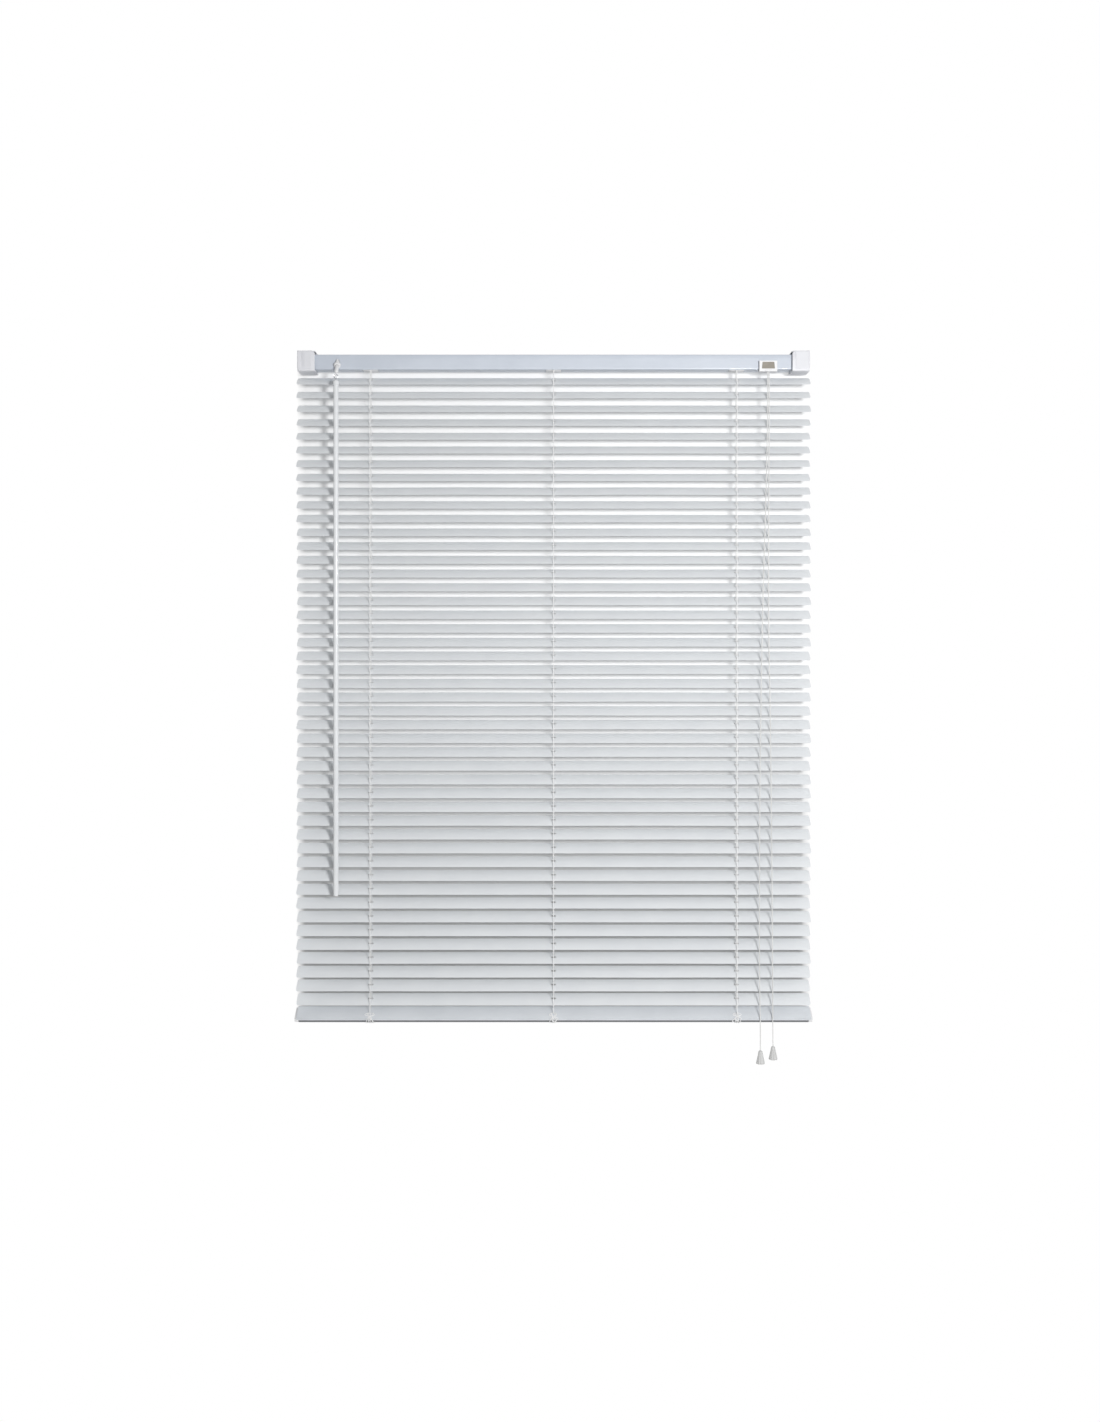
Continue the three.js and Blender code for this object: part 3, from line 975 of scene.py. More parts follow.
@dataclass
class Slats:
    """Arched strips with rounded corners and oblong route holes, each on its own axis."""

    reach: float = 429.0
    half_chord: float = 12.5
    crown: float = 2.0
    lift: float = 0.4
    thickness: float = 0.45
    corner: float = 3.0
    hole_half_width: float = 2.0
    hole_half_length: float = 4.5
    hole_margin: float = 14.0
    spans: int = 5
    hole_rows: tuple[float, ...] = (0.0, 0.4, 0.7, 0.9, 1.0)
    outer_rows: tuple[float, ...] = (4.2, 6.2, 8.0, 9.5, 10.9, 11.9, 12.35, 12.5)
    hold_jitter_deg: float = 0.27
    slide_jitter: float = 0.5
    slides_past: float = 330.0
    wave_height: float = 0.12
    wave_half_length: float = 153.0
    rung_gap: float = 3.2
    rung_radius: float = 0.28
    rung_spread: float = 11.0
    rung_under: Profile = ((-14.6, 0.1), (-7, -0.25), (7, -0.25), (14.6, 0.1))
    rung_over: Profile = ((-14.6, 0.1), (-12.4, 1.2), (-6.5, 3.0), (0, 3.3), (6.5, 3.0), (12.4, 1.2),
                          (14.6, 0.1))

    def columns(self, places: Places) -> np.ndarray:
        """Where the strip's columns stand, and how each one bows.

        Args:
            places: The shared places.

        Returns:
            Rows of x, -1 or 1 at the strip's ends, and -1 or 1 at a hole's ends.
        """
        straight = self.hole_half_length - self.hole_half_width
        found = [(-self.reach, -1, 0)]
        for ladder in places.ladders:
            between = np.linspace(found[-1][0], ladder - self.hole_margin, self.spans + 1)[1:]
            found += [(x, 0, 0) for x in between]
            found += [(ladder - straight, 0, -1), (ladder + straight, 0, 1)]
            found.append((ladder + self.hole_margin, 0, 0))
        found += [(x, 0, 0) for x in np.linspace(found[-1][0], self.reach, self.spans + 1)[1:-1]]
        found.append((self.reach, 1, 0))
        return np.array(found, float)

    def sheet(self, places: Places) -> tuple[np.ndarray, np.ndarray]:
        """The strip's underside as a grid, z = lift + crown (1 - (y/h)^2).

        The end columns bow to rounded corners, x = reach - c + sqrt(c^2 - (|y| - h + c)^2), and
        the columns beside a hole bow to its round ends, x = l - w + sqrt(w^2 - y^2).

        Args:
            places: The shared places.

        Returns:
            The grid as (columns, rows, 3) and the mask of its quads.
        """
        h, w, c = self.half_chord, self.hole_half_width, self.corner
        half = np.array([*(w * share for share in self.hole_rows), *self.outer_rows])
        ys = np.concatenate([-half[:0:-1], half])
        xs, at_end, at_hole = self.columns(places).T[:, :, None]
        end = np.sqrt(np.maximum(c * c - np.maximum(np.abs(ys) - h + c, 0) ** 2, 0)) - c
        hole = np.sqrt(np.maximum(w * w - ys * ys, 0))
        grid = np.empty((len(xs), len(ys), 3))
        grid[..., 0] = xs + at_end * end + at_hole * hole
        grid[..., 1] = ys
        grid[..., 2] = self.lift + self.crown * (1 - (ys / h) ** 2)
        in_hole = (at_hole[:-1] < 0) & (np.abs((ys[1:] + ys[:-1]) / 2) < w)
        return grid, ~in_hole

    def build(self, palette: Palette, places: Places) -> None:
        """Builds every slat with its rungs. A faint wave, w cos(pi x / l), runs along a slat.

        Args:
            palette: The materials.
            places: The shared places.
        """
        rng = np.random.default_rng(7)
        grid, keep = self.sheet(places)
        for name in places.slat_names:
            turn = places.rest_tilt + math.radians(rng.normal(0, self.hold_jitter_deg))
            slide = rng.normal(0, self.slide_jitter)
            sheet = grid.copy()
            sheet[..., 0] += slide * (np.abs(sheet[..., 0]) > self.slides_past)
            wave = np.cos(sheet[..., 0] / self.wave_half_length * math.pi)
            sheet[..., 2] += rng.normal(0, self.wave_height) * wave
            strip = tilted(sheet, turn, places.line(f"{name}_tilt"))
            slat = thickened(Shape().grid(strip, keep=keep).mesh(name + "_strip", 60), self.thickness)
            palette.dress(slat, Look.SLAT, name, [name])
            palette.dress(self.rungs(name, places), Look.STRING, name)

    def rungs(self, name: str, places: Places) -> bpy.types.Object:
        """The two cross strings of each ladder at a slat: one under it and one over its crown.

        Args:
            name: The slat's name.
            places: The shared places.

        Returns:
            The rungs of all ladders as one piece.
        """
        shape = Shape()
        reach = self.rung_under[-1][0]
        for ladder in places.ladders:
            for aside, profile, steps in ((-self.rung_gap, self.rung_under, 1),
                                          (self.rung_gap, self.rung_over, 2)):
                path = smooth_path([(aside, y, z) for y, z in profile], steps)
                near = np.clip((np.abs(path[:, 1]) - self.rung_spread) / (reach - self.rung_spread), 0, 1)
                path[:, 0] = ladder + path[:, 0] * (1 - near)
                path = tilted(path, places.rest_tilt, places.line(f"{name}_tilt"))
                shape.loft(tube(path, self.rung_radius, 5))
        return shape.mesh(name + "_rungs")


@dataclass
class Ladders:
    """Front and rear strings of three ladders, their leads from the headrail and the lift cords."""

    radius: float = 0.55
    sides: int = 6
    rows: int = 160
    front_ends: tuple[float, float] = (-55.0, -1103.5)
    rear_ends: tuple[float, float] = (-38.5, -1086.0)
    sway: float = 0.12
    sway_length: float = 23.0
    lead_y: float = 9.0
    lead_z: float = -29.2
    overlap: float = 2.5
    lift_radius: float = 0.7
    lift_y: float = 0.6
    lift_top: float = -29.6
    lift_foot: float = 9.0
    lift_rows: int = 60

    def build(self, palette: Palette, places: Places) -> None:
        """Builds strings, leads and lift cords."""
        self.strings("front", -1, self.front_ends, palette, places)
        self.strings("rear", 1, self.rear_ends, palette, places)
        shape = Shape()
        foot = places.axis("bottom_rail_tilt")[2] + self.lift_foot
        heights = np.linspace(self.lift_top, foot, self.lift_rows)
        for x in places.ladders:
            path = np.stack([np.full_like(heights, x), np.full_like(heights, self.lift_y), heights], axis=1)
            shape.loft(tube(path, self.lift_radius, self.sides))
        palette.dress(shape.mesh("lift_cords"), Look.CORD, "headrail")

    def strings(self, name: str, side: int, ends: tuple[float, float], palette: Palette,
                places: Places) -> None:
        """Builds one side's strings, x = ladder + s sin(2 pi z / l), and the leads over them.

        Args:
            name: The side's name.
            side: -1 at the room, 1 at the wall.
            ends: The heights of their tops and their feet.
            palette: The materials.
            places: The shared places.
        """
        shape = Shape()
        heights = np.linspace(*ends, self.rows)
        sway = self.sway * np.sin(heights / self.sway_length * math.pi * 2)
        for x in places.ladders:
            path = np.stack([x + sway, np.full_like(heights, side * places.ladder_y), heights], axis=1)
            shape.loft(tube(path, self.radius, self.sides))
        body = f"ladder_string_{name}"
        palette.dress(shape.mesh(f"ladder_strings_{name}"), Look.STRING, body, [body])
        self.leads(name, side, ends[0] - self.overlap, palette, places)

    def leads(self, name: str, side: int, foot: float, palette: Palette, places: Places) -> None:
        """Builds the strings between the headrail's eyelets and the first slat.

        Args:
            name: The side's name.
            side: -1 at the room, 1 at the wall.
            foot: The height they reach down to.
            palette: The materials.
            places: The shared places.
        """
        top, near, far = self.lead_z, side * self.lead_y, side * places.ladder_y
        shape = Shape()
        for x in places.ladders:
            corners = [(x, near, top), (x, near + 0.6 * side, top - 2.5), (x, far, (top + foot) / 2 - 1.5),
                       (x, far, foot)]
            shape.loft(tube(smooth_path(corners, 6), self.radius, self.sides))
        piece = palette.paint(shape.mesh(f"ladder_leads_{name}"), Look.STRING)
        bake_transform(piece)


# Headrail and what it holds


@dataclass
class Headrail:
    """A folded steel channel with hemmed lips, its slots, cradles, eyelets and cord run."""

    half: float = 12.5
    bottom: float = -30.5
    reach: float = 423.5
    wall: float = 0.9
    front_lip: Corners = ((-9.0, -7.1, 0), (-9.0, -5.5, 0.5), (-12.5, -5.5, 1.6))
    fold: Corners = ((-12.5, -30.5, 1.6), (-10.5, -30.5, 0), (-9.3, -30.5, 0), (-2.7, -30.5, 0),
                     (10.5, -30.5, 0), (12.5, -30.5, 1.6), (12.5, -5.5, 1.6), (9.0, -5.5, 0.5),
                     (9.0, -7.1, 0))
    slot_half_length: float = 13.0
    slot_half_width: float = 10.5
    lock_xs: tuple[float, float] = (341.7, 372.3)
    lock_ys: tuple[float, float] = (-9.3, -2.7)
    stem_centre: tuple[float, float] = (-360.0, -20.1)
    stem_reach: tuple[float, float] = (4.0, 6.9)
    columns: int = 41
    near: float = 0.2
    cradle_half: tuple[float, float] = (12.6, 10.1)
    cradle_levels: Profile = ((-28.2, 0.5), (-28.5, 0.15), (-30.3, 0.0), (-31.0, 0.1), (-31.2, 0.5))
    cheek: Corners = (
        (-10.6, -28.4, 0.8), (10.6, -28.4, 0.8), (10.6, -15, 2), (6, -11.6, 0.6), (3.9, -13.8, 1.2),
        (3.9, -18, 1.5), (0, -22, 2.5), (-3.9, -18, 1.5), (-3.9, -13.8, 1.2), (-6, -11.6, 0.6),
        (-10.6, -15, 2))
    cheek_offsets: tuple[float, float] = (-9.3, 8.1)
    cheek_thickness: float = 1.2
    eyelets: Profile = ((-9.0, 1.5), (9.0, 1.5), (0.6, 1.9))
    eyelet_z: float = -31.3
    eyelet_section: tuple[float, float] = (0.55, 0.65)

    def build(self, palette: Palette, places: Places) -> None:
        """Builds the channel and its fittings."""
        self.channel(palette, places)
        for number, x in enumerate(places.ladders, 1):
            piece = eased(self.cradle(x).mesh(f"ladder_cradle_{number}"), 0.2, 1)
            palette.dress(piece, Look.FITTING, "headrail")

    def channel(self, palette: Palette, places: Places) -> None:
        """Builds the channel's sheet as a grid of its folded section along X, less its openings.

        The tilter stem's opening is ((x - a) / p)^2 + ((z - b) / q)^2 < 1 in the room side.

        Args:
            palette: The materials.
            places: The shared places.
        """
        stem_x, stem_z = self.stem_centre
        stem_a, stem_b = self.stem_reach
        rows = [(-self.half, z, 0) for z in np.linspace(stem_z + stem_b, stem_z - stem_b, 10)]
        section = fillet([*self.front_lip, *rows, *self.fold], closed=False)
        slots = [(x - self.slot_half_length, x + self.slot_half_length) for x in places.ladders]
        around_stem = np.linspace(stem_x - stem_a, stem_x + stem_a, 9)
        evenly = np.linspace(-self.reach, self.reach, self.columns)
        grid = prism(section, np.unique(np.concatenate([evenly, *slots, self.lock_xs, around_stem])))
        x, y, z = np.moveaxis((grid[:-1, :-1] + grid[1:, 1:]) / 2, -1, 0)
        on_floor = z < self.bottom + self.near
        from_stem = ((x - stem_x) / stem_a) ** 2 + ((z - stem_z) / stem_b) ** 2
        cut = (y < self.near - self.half) & (from_stem < 1)
        openings = [(slot, (-self.slot_half_width, self.slot_half_width)) for slot in slots]
        for (left, right), (low, high) in [*openings, (self.lock_xs, self.lock_ys)]:
            cut |= on_floor & (x > left) & (x < right) & (y > low) & (y < high)
        channel = thickened(Shape().grid(grid, keep=~cut).mesh("headrail_channel", 30), self.wall)
        palette.dress(channel, Look.ENAMEL, "headrail", ["headrail"])

    def cradle(self, x: float) -> Shape:
        """A moulded cradle in a ladder slot: floor plate, side cheeks for the rod, and eyelets.

        Args:
            x: The ladder's place.

        Returns:
            The cradle's shape.
        """
        half_x, half_y = self.cradle_half
        floor = fillet(box((x - half_x, -half_y), (x + half_x, half_y), 2))
        shape = Shape().loft(plate(floor, self.cradle_levels)[..., [0, 2, 1]])
        for offset in self.cheek_offsets:
            start = x + offset
            shape.loft(prism(fillet(self.cheek, 3), [start, start + self.cheek_thickness]))
        ring = circle(1.0, 10) + [1.0, 0.0]
        for y, bore in self.eyelets:
            shape.loft(hoop(ring * self.eyelet_section + [bore, 0], 28) + [x, y, self.eyelet_z], ring=True)
        return shape


@dataclass
class TiltRod:
    """Hexagonal rod with a worm wheel at the tilter and a grooved drum at each ladder."""

    radius: float = 3.0
    ends: tuple[float, float] = (-378.0, 330.0)
    drum: Profile = (
        (3.15, -6.5), (7.7, -6.5), (8.0, -6.2), (8.0, -5.4), (7.6, -5.0), (5.6, -4.1), (5.4, -1.4),
        (6.8, -0.8), (6.8, 0.8), (5.4, 1.4), (5.6, 4.1), (7.6, 5.0), (8.0, 5.4), (8.0, 6.2), (7.7, 6.5),
        (3.15, 6.5))
    wheel: Profile = ((3.15, -3.5), (4.6, -3.5), (5.3, -2.9), (5.0, 0), (5.3, 2.9), (4.6, 3.5),
                      (3.15, 3.5))
    teeth: int = 12
    tooth_depth: float = 0.09

    def build(self, palette: Palette, places: Places) -> None:
        """Builds rod, drums and wheel on one body."""
        line = places.line("tilt_rod_turn")
        section = hexagon(self.radius, 0.5, 2)
        rod = Shape().loft(prism(section, np.linspace(*self.ends, 12)) + line)
        palette.dress(rod.mesh("tilt_rod_bar", 25), Look.ZINC, "tilt_rod", ["tilt_rod"])
        shape = Shape()
        for x in places.ladders:
            shape.loft(along_x(lathe(self.drum, 40)) + line + [x, 0, 0])
        wheel_x = places.axis("tilter_stem_turn")[0]
        wheel = lathe(self.wheel, 96, self.teeth, self.tooth_depth)
        shape.loft(along_x(wheel) + line + [wheel_x, 0, 0])
        moulded = eased(shape.mesh("ladder_drums_and_worm_wheel", 30), 0.15, 1)
        palette.dress(moulded, Look.FITTING, "tilt_rod")


@dataclass
class Tilter:
    """Tilter housing, worm stem with its eye, wire hook, collar and hexagonal wand."""

    lean: float = math.radians(55 - 90)
    cheek: Corners = ((-10.8, -28.9, 1), (10.8, -28.9, 1), (10.8, -13, 3), (6, -9.4, 3), (-6, -9.4, 3),
                      (-10.8, -11.5, 2))
    cheek_offsets: tuple[float, float] = (-9.4, 8.0)
    cheek_thickness: float = 1.4
    floor_half: float = 8.2
    boss: Profile = ((2.95, 28.8), (3.9, 28.8), (3.9, 24.0), (5.6, 23.6), (5.9, 22.9), (5.9, 21.4),
                     (5.4, 20.4), (4.1, 20.1), (2.95, 20.1))
    sleeve: Profile = ((1.5, 2.6), (2.2, 4.6), (3.3, 6.2), (3.35, 8), (3.1, 8.4), (3.1, 9.2),
                       (3.35, 9.6), (3.35, 18.6), (3.1, 19.5), (2.6, 20.6), (2.6, 29))
    worm_ends: tuple[float, float] = (29.0, 40.0)
    worm_radius: float = 2.65
    thread_depth: float = 0.42
    thread_pitch: float = 2.4
    eye: Profile = ((1.7, -0.65), (1.5, -0.45), (1.5, 0.45), (1.7, 0.65), (2.8, 0.65), (3.0, 0.45),
                    (3.0, -0.45), (2.8, -0.65))
    wire: float = 0.6
    hook: float = 3.2
    tail_heights: tuple[float, ...] = (-6.3, -9.0, -12.0)
    collar: Profile = (
        (1.4, -8.6), (2.6, -8.9), (3.9, -10.0), (4.9, -11.4), (5.1, -12.2), (5.1, -16.6), (4.8, -16.9),
        (4.8, -17.3), (5.1, -17.6), (5.1, -17.9), (4.7, -18.2))
    wand_radius: float = 4.6
    wand_taper: Profile = ((0.97, -17.4), (0.97, -200), (0.98, -400), (0.99, -600), (1.0, -858),
                           (0.96, -860), (0.88, -861.6), (0.74, -862.6), (0.55, -863))

    def build(self, palette: Palette, places: Places) -> None:
        """Builds the housing, the stem and the wand."""
        pivot = places.axis("tilter_stem_turn")
        self.housing(palette, pivot)
        self.stem(palette, pivot)
        self.wand(palette, pivot)

    def housing(self, palette: Palette, pivot: np.ndarray) -> None:
        """Builds two cheeks either side of the worm wheel, their floor and the boss outside.

        Args:
            palette: The materials.
            pivot: The stem's joint.
        """
        x = pivot[0]
        shape = Shape()
        for offset in self.cheek_offsets:
            start = x + offset
            shape.loft(prism(fillet(self.cheek, 3), [start, start + self.cheek_thickness]))
        floor = fillet(box((-10.8, -29.2), (10.8, -27.9), 0.3), 2)
        shape.loft(prism(floor, [x - self.floor_half, x + self.floor_half]))
        shape.loft(tilted(lathe(self.boss, 36), self.lean, pivot), ring=True)
        palette.dress(eased(shape.mesh("tilter_housing"), 0.2, 1), Look.FITTING, "headrail")

    def stem(self, palette: Palette, pivot: np.ndarray) -> None:
        """Builds the worm with its thread, r = r0 + d cos(t - 2 pi z / p), the sleeve and the eye.

        Args:
            palette: The materials.
            pivot: The stem's joint.
        """
        sides = 24
        heights = np.linspace(*self.worm_ends, 67)[:, None]
        turn = np.linspace(0, 2 * math.pi, sides, endpoint=False)[None]
        r = self.worm_radius + self.thread_depth * np.cos(turn - 2 * math.pi * heights / self.thread_pitch)
        worm = np.stack([r * np.cos(turn), r * np.sin(turn), np.repeat(heights, sides, axis=1)], axis=-1)
        shape = Shape().loft(tilted(lathe(self.sleeve, 28), self.lean, pivot))
        shape.loft(tilted(worm, self.lean, pivot))
        shape.loft(tilted(along_x(hoop(self.eye, 32)), self.lean, pivot), ring=True)
        palette.dress(shape.mesh("tilter_stem_worm", 32), Look.FITTING, "tilter_stem", ["tilter_stem"])

    def wand(self, palette: Palette, pivot: np.ndarray) -> None:
        """Builds the wire hook, the turned collar and a hexagonal rod with a domed tip.

        Args:
            palette: The materials.
            pivot: The stem's joint.
        """
        wire = hoop(circle(self.wire, 8) + [self.hook, 0], 40)[..., [1, 2, 0]] - [0, 0, self.hook]
        tail = tube(np.array([(0, 0, z) for z in self.tail_heights]), self.wire)
        hook = Shape().loft(wire + pivot, ring=True).loft(tail + pivot)
        palette.dress(hook.mesh("wand_hook"), Look.ZINC, "tilt_wand")
        section = hexagon(self.wand_radius, 0.9, 3)
        loops = [np.column_stack([section * share, np.full(len(section), z)])
                 for share, z in self.wand_taper]
        rod = Shape().loft(lathe(self.collar, 36) + pivot).loft(np.array(loops) + pivot)
        palette.dress(rod.mesh("wand_rod", 28), Look.WAND, "tilt_wand", ["tilt_wand"])


@dataclass
class CordLock:
    """Cord lock with its sloping nose, blank card, lip, roller and pin."""

    centre: float = 357.0
    card: Corners = ((-10.9, -30.2, 0.7), (10.9, -30.2, 0.7), (9.7, -19.2, 0.7), (-9.7, -19.2, 0.7))
    card_levels: Profile = ((-18.6, 0), (-19.1, 0), (-19.3, 0.25))
    lip_low: tuple[float, float] = (-5.0, -34.6)
    lip_high: tuple[float, float] = (6.4, -31.8)
    lip_levels: Profile = ((-18.6, 0), (-19.6, 0), (-19.9, 0.35))
    roller: Profile = ((1.0, -12), (2.9, -12), (3.1, -11.7), (3.1, 11.7), (2.9, 12), (1.0, 12))
    pin: Profile = ((0.9, -15), (1.2, -14.7), (1.2, 14.7), (0.9, 15))
    roller_line: tuple[float, float] = (-1.5, -9.6)
    ear: Corners = ((-5, -13.2, 0.5), (2.5, -13.2, 0.5), (2.5, -9, 2), (-1.5, -6.8, 2), (-5, -9, 2))
    ear_offsets: tuple[float, float] = (-13.6, 12.6)
    ear_thickness: float = 1.0

    def build(self, palette: Palette) -> None:
        """Builds the lock from its node's shape and adds its small parts."""
        body = eased(clean_copy("cord_lock", "cord_lock_body"), 0.5, 3)
        palette.dress(body, Look.FITTING, "headrail", ["cord_lock"])
        place = [self.centre, 0, 0]
        card = Shape().loft(plate(fillet(self.card), self.card_levels) + place)
        palette.dress(card.mesh("cord_lock_card"), Look.CARD, "headrail")
        lip = Shape().loft(plate(fillet(box(self.lip_low, self.lip_high, 0.8), 3), self.lip_levels) + place)
        palette.dress(lip.mesh("cord_lock_lip"), Look.FITTING, "headrail")
        axis = [self.centre, *self.roller_line]
        roller = Shape().loft(along_x(lathe(self.roller, 64, 16, 0.05)) + axis)
        roller.loft(along_x(lathe(self.pin, 16)) + axis)
        for offset in self.ear_offsets:
            roller.loft(prism(fillet(self.ear, 3), [offset, offset + self.ear_thickness]) + place)
        palette.dress(roller.mesh("cord_lock_roller", 30), Look.ZINC, "headrail")


@dataclass
class Brackets:
    """Box brackets with eased edges, their swinging covers and their screws."""

    half: float = 426.0
    width: float = 29.0
    low: float = -33.8
    high: float = -0.3
    back: float = -17.4
    levels: Profile = ((0, 0.2), (-0.2, 0), (-1.2, 0), (-1.45, 0.12), (-1.6, 0.5))
    relief: Profile = ((-1.3, 0), (-2.1, 0), (-2.35, 0.25))
    left_panels: Profile = ((-425.0, -419.2), (-417.6, -416.0), (-414.6, -402.4))
    right_panels: Profile = ((402.6, 423.8),)
    panel_edges: tuple[float, float] = (3.2, 1.4)
    corner_edge: float = 4.4
    knuckle: Profile = ((0.45, -2.6), (0.62, -2.4), (0.62, 2.4), (0.45, 2.6))
    knuckle_line: tuple[float, float] = (-17.5, -33.2)
    screw: Profile = ((1.9, 0.2), (1.9, 0), (3.6, 0), (3.6, -0.5), (3.1, -1.1), (2.0, -1.5),
                      (1.1, -1.55), (1.0, -0.9), (0.4, -0.9))
    top_screws: tuple[float, float] = (-9.0, 0.5)
    top_screw_z: float = -1.6
    back_screws: tuple[float, float] = (-11.0, -23.0)
    back_screw_y: float = 15.4

    def build(self, palette: Palette) -> None:
        """Builds both ends."""
        for side, sign, panels in (("left", -1, self.left_panels), ("right", 1, self.right_panels)):
            bracket = eased(clean_copy(f"bracket_{side}", f"bracket_box_{side}"), 0.35)
            palette.dress(bracket, Look.PLASTIC, "headrail", [f"bracket_{side}"])
            cover = eased(self.cover(sign, panels).mesh(f"bracket_front_{side}", 30), 0.12, 1)
            palette.dress(cover, Look.PLASTIC, f"bracket_cover_{side}", [f"bracket_cover_{side}"])
            screws = self.screws(sign * (self.half - self.width / 2))
            palette.dress(screws.mesh(f"bracket_screws_{side}"), Look.ZINC, "headrail")

    def cover(self, sign: int, panels: Profile) -> Shape:
        """A plate with a rounded outer lower corner and a chamfered inner upper one, and its relief.

        Args:
            sign: -1 for the left cover, 1 for the right one.
            panels: The ends of its raised panels.

        Returns:
            The cover's shape.
        """
        outer, inner = sign * self.half, sign * (self.half - self.width)
        back = [0, self.back, 0]
        outline = fillet([(inner, self.low, 0.8), (outer, self.low, 5.5), (outer, self.high, 0.9),
                          (inner + sign * 4, self.high, 0.8), (inner, self.high - 4, 0.8)], 6)
        shape = Shape().loft(plate(outline, self.levels) + back)
        foot, top = self.low + self.panel_edges[0], self.high - self.panel_edges[1]
        for number, (left, right) in enumerate(panels):
            first = (left, foot, 0.5)
            if sign < 0 and number == 0:
                first = (left, self.low + self.corner_edge, 2.4)
            panel = fillet([first, (right, foot, 0.5), (right, top, 0.5), (left, top, 0.5)])
            shape.loft(plate(panel, self.relief) + back)
        for centre in (inner + sign * 4, outer - sign * 6):
            shape.loft(along_x(lathe(self.knuckle, 14)) + [centre, *self.knuckle_line])
        return shape

    def screws(self, x: float) -> Shape:
        """Pan-head screws under the top plate and in the back one, along one line."""
        shape = Shape()
        head = lathe(self.screw, 24)
        for y in self.top_screws:
            shape.loft(head + [x, y, self.top_screw_z])
        for z in self.back_screws:
            shape.loft(head[..., [0, 2, 1]] + [x, self.back_screw_y, z])
        return shape


# Bottom rail


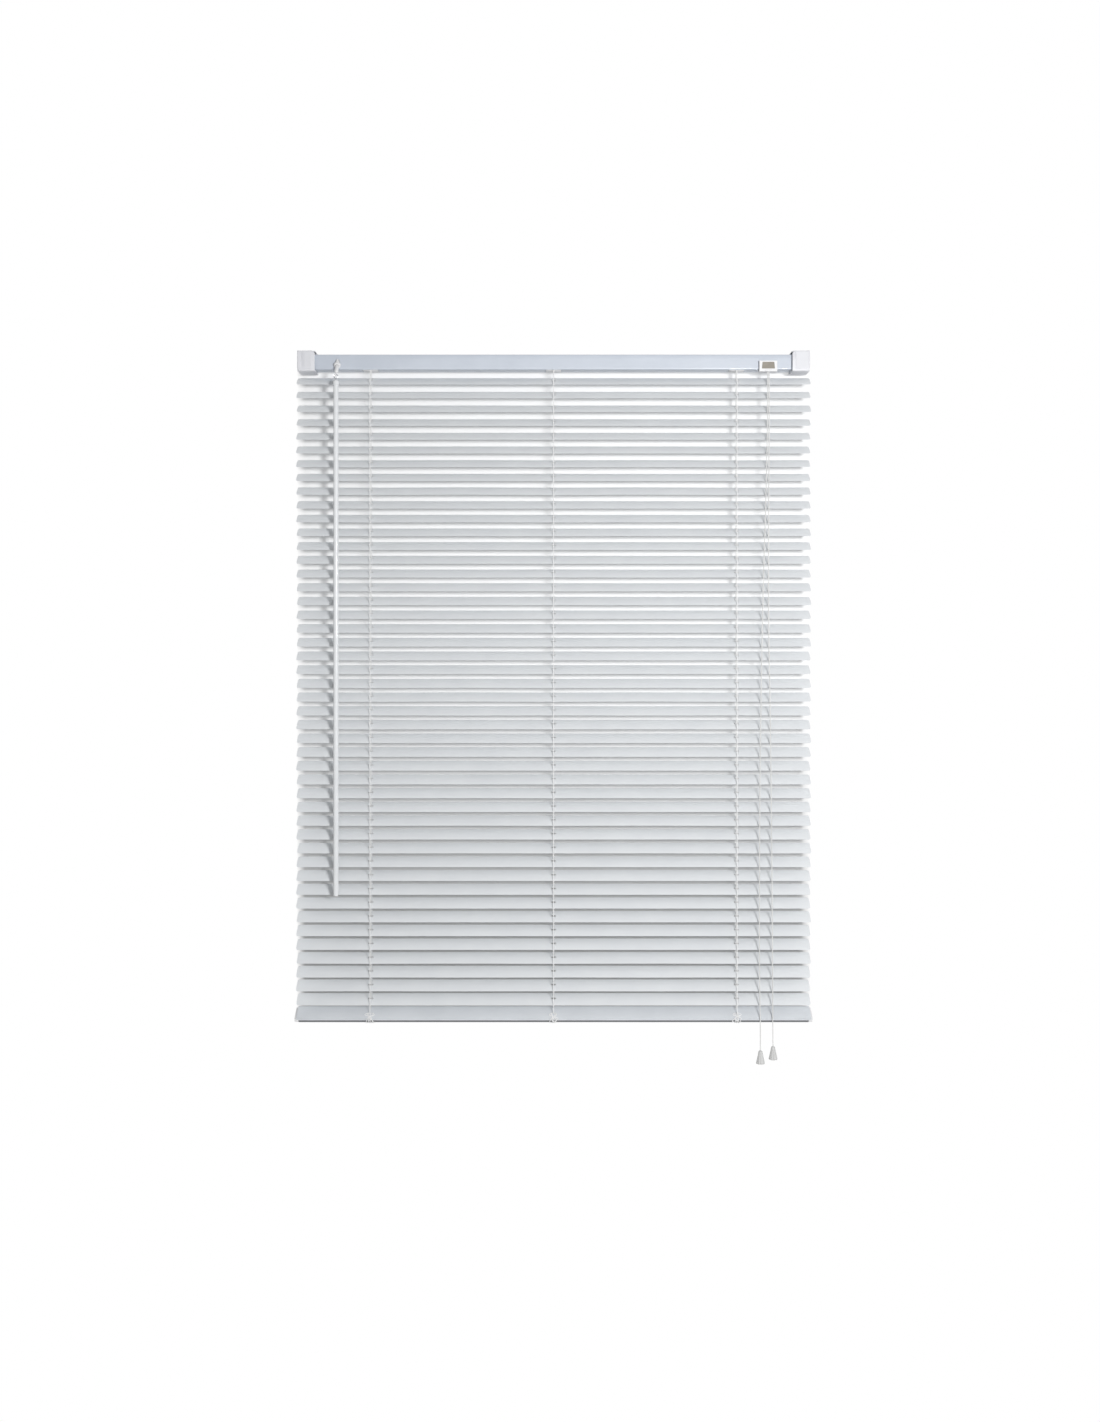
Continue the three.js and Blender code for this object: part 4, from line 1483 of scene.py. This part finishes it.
@dataclass
class BottomRail:
    """Hollow rail with end caps, spare slats on it, cord buttons and the gathered string ends."""

    half: float = 12.5
    half_height: float = 4.5
    reach: float = 430.6
    profile: Corners = (
        (-11.5, -3.3, 0.6), (-10.3, -4.5, 0.6), (10.3, -4.5, 0.6), (11.5, -3.3, 0.6), (11.5, 1.0, 0.3),
        (12.5, 1.4, 0.3), (12.5, 3.5, 0.7), (11.1, 4.7, 1.5), (0, 6.1, 6), (-11.1, 4.7, 1.5),
        (-12.5, 3.5, 0.7), (-12.5, 1.4, 0.3), (-11.5, 1.0, 0.3))
    cap_outline: Corners = (
        (-12.5, -2.5, 1.2), (-10.3, -4.5, 1.2), (10.3, -4.5, 1.2), (12.5, -2.5, 1.2), (12.5, 3.5, 0.7),
        (11.1, 4.7, 1.5), (0, 6.1, 6), (-11.1, 4.7, 1.5), (-12.5, 3.5, 0.7))
    cap_levels: Profile = ((425.6, -0.02), (425.8, -0.28), (431.4, -0.28), (431.8, 0.1), (432.0, 0.9))
    bead_radius: float = 0.42
    bead_place: tuple[float, float] = (-12.5, 3.2)
    # Section of a dark strip along the rail's lower room edge, which is painted shade and not a part of its
    # own.
    foot: Corners = (
        (-12.3, 0.9, 0.15), (-11.3, 0.9, 0), (-11.3, -3.9, 0), (-10.1, -4.1, 0), (-10.1, -4.6, 0.1),
        (-11.3, -4.6, 0.5), (-12.3, -3.5, 0.5))
    shade_strip_reach: float = 425.4
    spares: int = 4
    spare_base: float = 4.45
    spare_pitch: float = 0.7
    spare_step: float = 0.5
    spare_slip: float = 0.06
    spare_reach: float = 429.0
    spare_slide: float = 0.6
    spare_thickness: float = 0.42
    crown: float = 2.0
    button: Profile = ((6.0, 0.3), (6.1, -0.5), (5.6, -1.6), (4.4, -2.3), (2.6, -2.6), (1.6, -2.6),
                       (1.1, -2.0), (0.5, -1.9))
    strands: int = 6
    strand_pitch: float = 2.1
    strand_radius: float = 0.55
    strand_wave: float = 1.3
    strand_route: Profile = ((-3.5, 9.6), (-7.0, 9.0), (-10.1, 8.1), (-13.2, 7.5), (-14.7, 5.5),
                             (-14.9, 2.5), (-14.0, -2.5), (-11.1, -5.15), (-5.9, -5.2))
    strand_spread: tuple[float, ...] = (0.5, 1.2, 0.3, 0.9, 1.0, 1.0, 0.8, 0.6, 0.3)
    strand_draws: tuple[int | None, ...] = (4, 5, None, 0, 1, 2, 3, None, None)

    def build(self, palette: Palette, places: Places) -> None:
        """Builds the rail and everything that turns with it."""
        line = places.line("bottom_rail_tilt")
        turn = places.rest_tilt
        along = np.linspace(-self.reach, self.reach, 24)
        rail = Shape().loft(tilted(prism(fillet(self.profile), along), turn, line))
        bead = circle(self.bead_radius, 8) + self.bead_place
        rail.loft(tilted(prism(bead, [-self.reach, self.reach]), turn, line))
        # The dark strip along the rail's lower room edge is painted shade, a dark sheet where the rail's
        # edge lies in shadow.
        foot = prism(fillet(self.foot, 3), [-self.shade_strip_reach, self.shade_strip_reach])
        strip = Shape().loft(tilted(foot, turn, line)).mesh("bottom_rail_foot", 32)
        palette.dress(strip, Look.PAINTED_SHADE_STRIP, "bottom_rail")
        palette.dress(rail.mesh("bottom_rail_profile", 32), Look.RAIL, "bottom_rail", ["bottom_rail"])
        self.spare_slats(palette, turn, line)
        self.caps(palette, turn, line)
        buttons = Shape()
        for x in places.ladders:
            buttons.loft(tilted(lathe(self.button, 32) + [x, 0, -self.half_height], turn, line))
        palette.dress(buttons.mesh("cord_buttons"), Look.FITTING, "bottom_rail")
        self.gathered(palette, places, turn, line)

    def spare_slats(self, palette: Palette, turn: float, line: np.ndarray) -> None:
        """Builds thin arched strips lying on each other, z = base + crown (1 - (y/h)^2).

        Args:
            palette: The materials.
            turn: The rail's tilt.
            line: The rail's axis.
        """
        rng = np.random.default_rng(11)
        shape = Shape()
        ys = np.linspace(-self.half, self.half, 13)
        arch = self.spare_base + self.crown * (1 - (ys / self.half) ** 2)
        for layer in range(self.spares):
            slip = (layer - (self.spares - 1) / 2) * self.spare_step + rng.normal(0, self.spare_slip)
            under = np.stack([ys + slip, arch + layer * self.spare_pitch], axis=1)
            over = under[::-1] + [0, self.spare_thickness]
            left = rng.normal(-self.spare_reach, self.spare_slide)
            right = rng.normal(self.spare_reach, self.spare_slide)
            strip = prism(np.concatenate([under, over]), np.linspace(left, right, 12))
            shape.loft(tilted(strip, turn, line))
        # The spares take a darker copy of the slat PVC, which is painted shade.
        palette.dress(shape.mesh("spare_slats", 50), Look.SPARE_PAINTED_SHADE, "bottom_rail")

    def caps(self, palette: Palette, turn: float, line: np.ndarray) -> None:
        """Builds moulded end caps with a flange that stands a little proud of the rail.

        Args:
            palette: The materials.
            turn: The rail's tilt.
            line: The rail's axis.
        """
        outline = fillet(self.cap_outline)
        sections = [inset(outline, depth) for _, depth in self.cap_levels]
        for side, sign in (("left", -1), ("right", 1)):
            loops = [np.column_stack([np.full(len(section), sign * x), section])
                     for section, (x, _) in zip(sections, self.cap_levels)]
            cap = Shape().loft(tilted(np.array(loops), turn, line)).mesh(f"end_cap_{side}", 32)
            palette.dress(cap, Look.FITTING, "bottom_rail")

    def gathered(self, palette: Palette, places: Places, turn: float, line: np.ndarray) -> None:
        """Builds spare string ends lying over the rail's room edge, down to the button.

        Args:
            palette: The materials.
            places: The shared places.
            turn: The rail's tilt.
            line: The rail's axis.
        """
        rng = np.random.default_rng(23)
        shape = Shape()
        for x in places.ladders:
            for strand in range(self.strands):
                aside = (strand - (self.strands - 1) / 2) * self.strand_pitch
                waves = rng.normal(0, self.strand_wave, 6)
                corners = []
                for (y, z), spread, draw in zip(self.strand_route, self.strand_spread, self.strand_draws):
                    wave = 0.0 if draw is None else waves[draw]
                    corners.append((x + spread * aside + wave, y, z))
                shape.loft(tube(tilted(smooth_path(corners, 5), turn, line), self.strand_radius, 6))
        palette.dress(shape.mesh("gathered_strings"), Look.STRING, "bottom_rail")


def main() -> None:
    """Loads the frame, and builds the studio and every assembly."""
    logging.basicConfig(level=logging.INFO, format="%(message)s")
    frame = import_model()
    places = Places.of(frame)
    palette = Palette()
    studio = Studio()
    studio.camera()
    PullCords().build(palette)
    Slats().build(palette, places)
    Ladders().build(palette, places)
    Headrail().build(palette, places)
    TiltRod().build(palette, places)
    Tilter().build(palette, places)
    CordLock().build(palette)
    Brackets().build(palette)
    BottomRail().build(palette, places)
    studio.lights()
    studio.stage()
    bpy.context.view_layer.update()


if __name__ == "__main__":
    main()
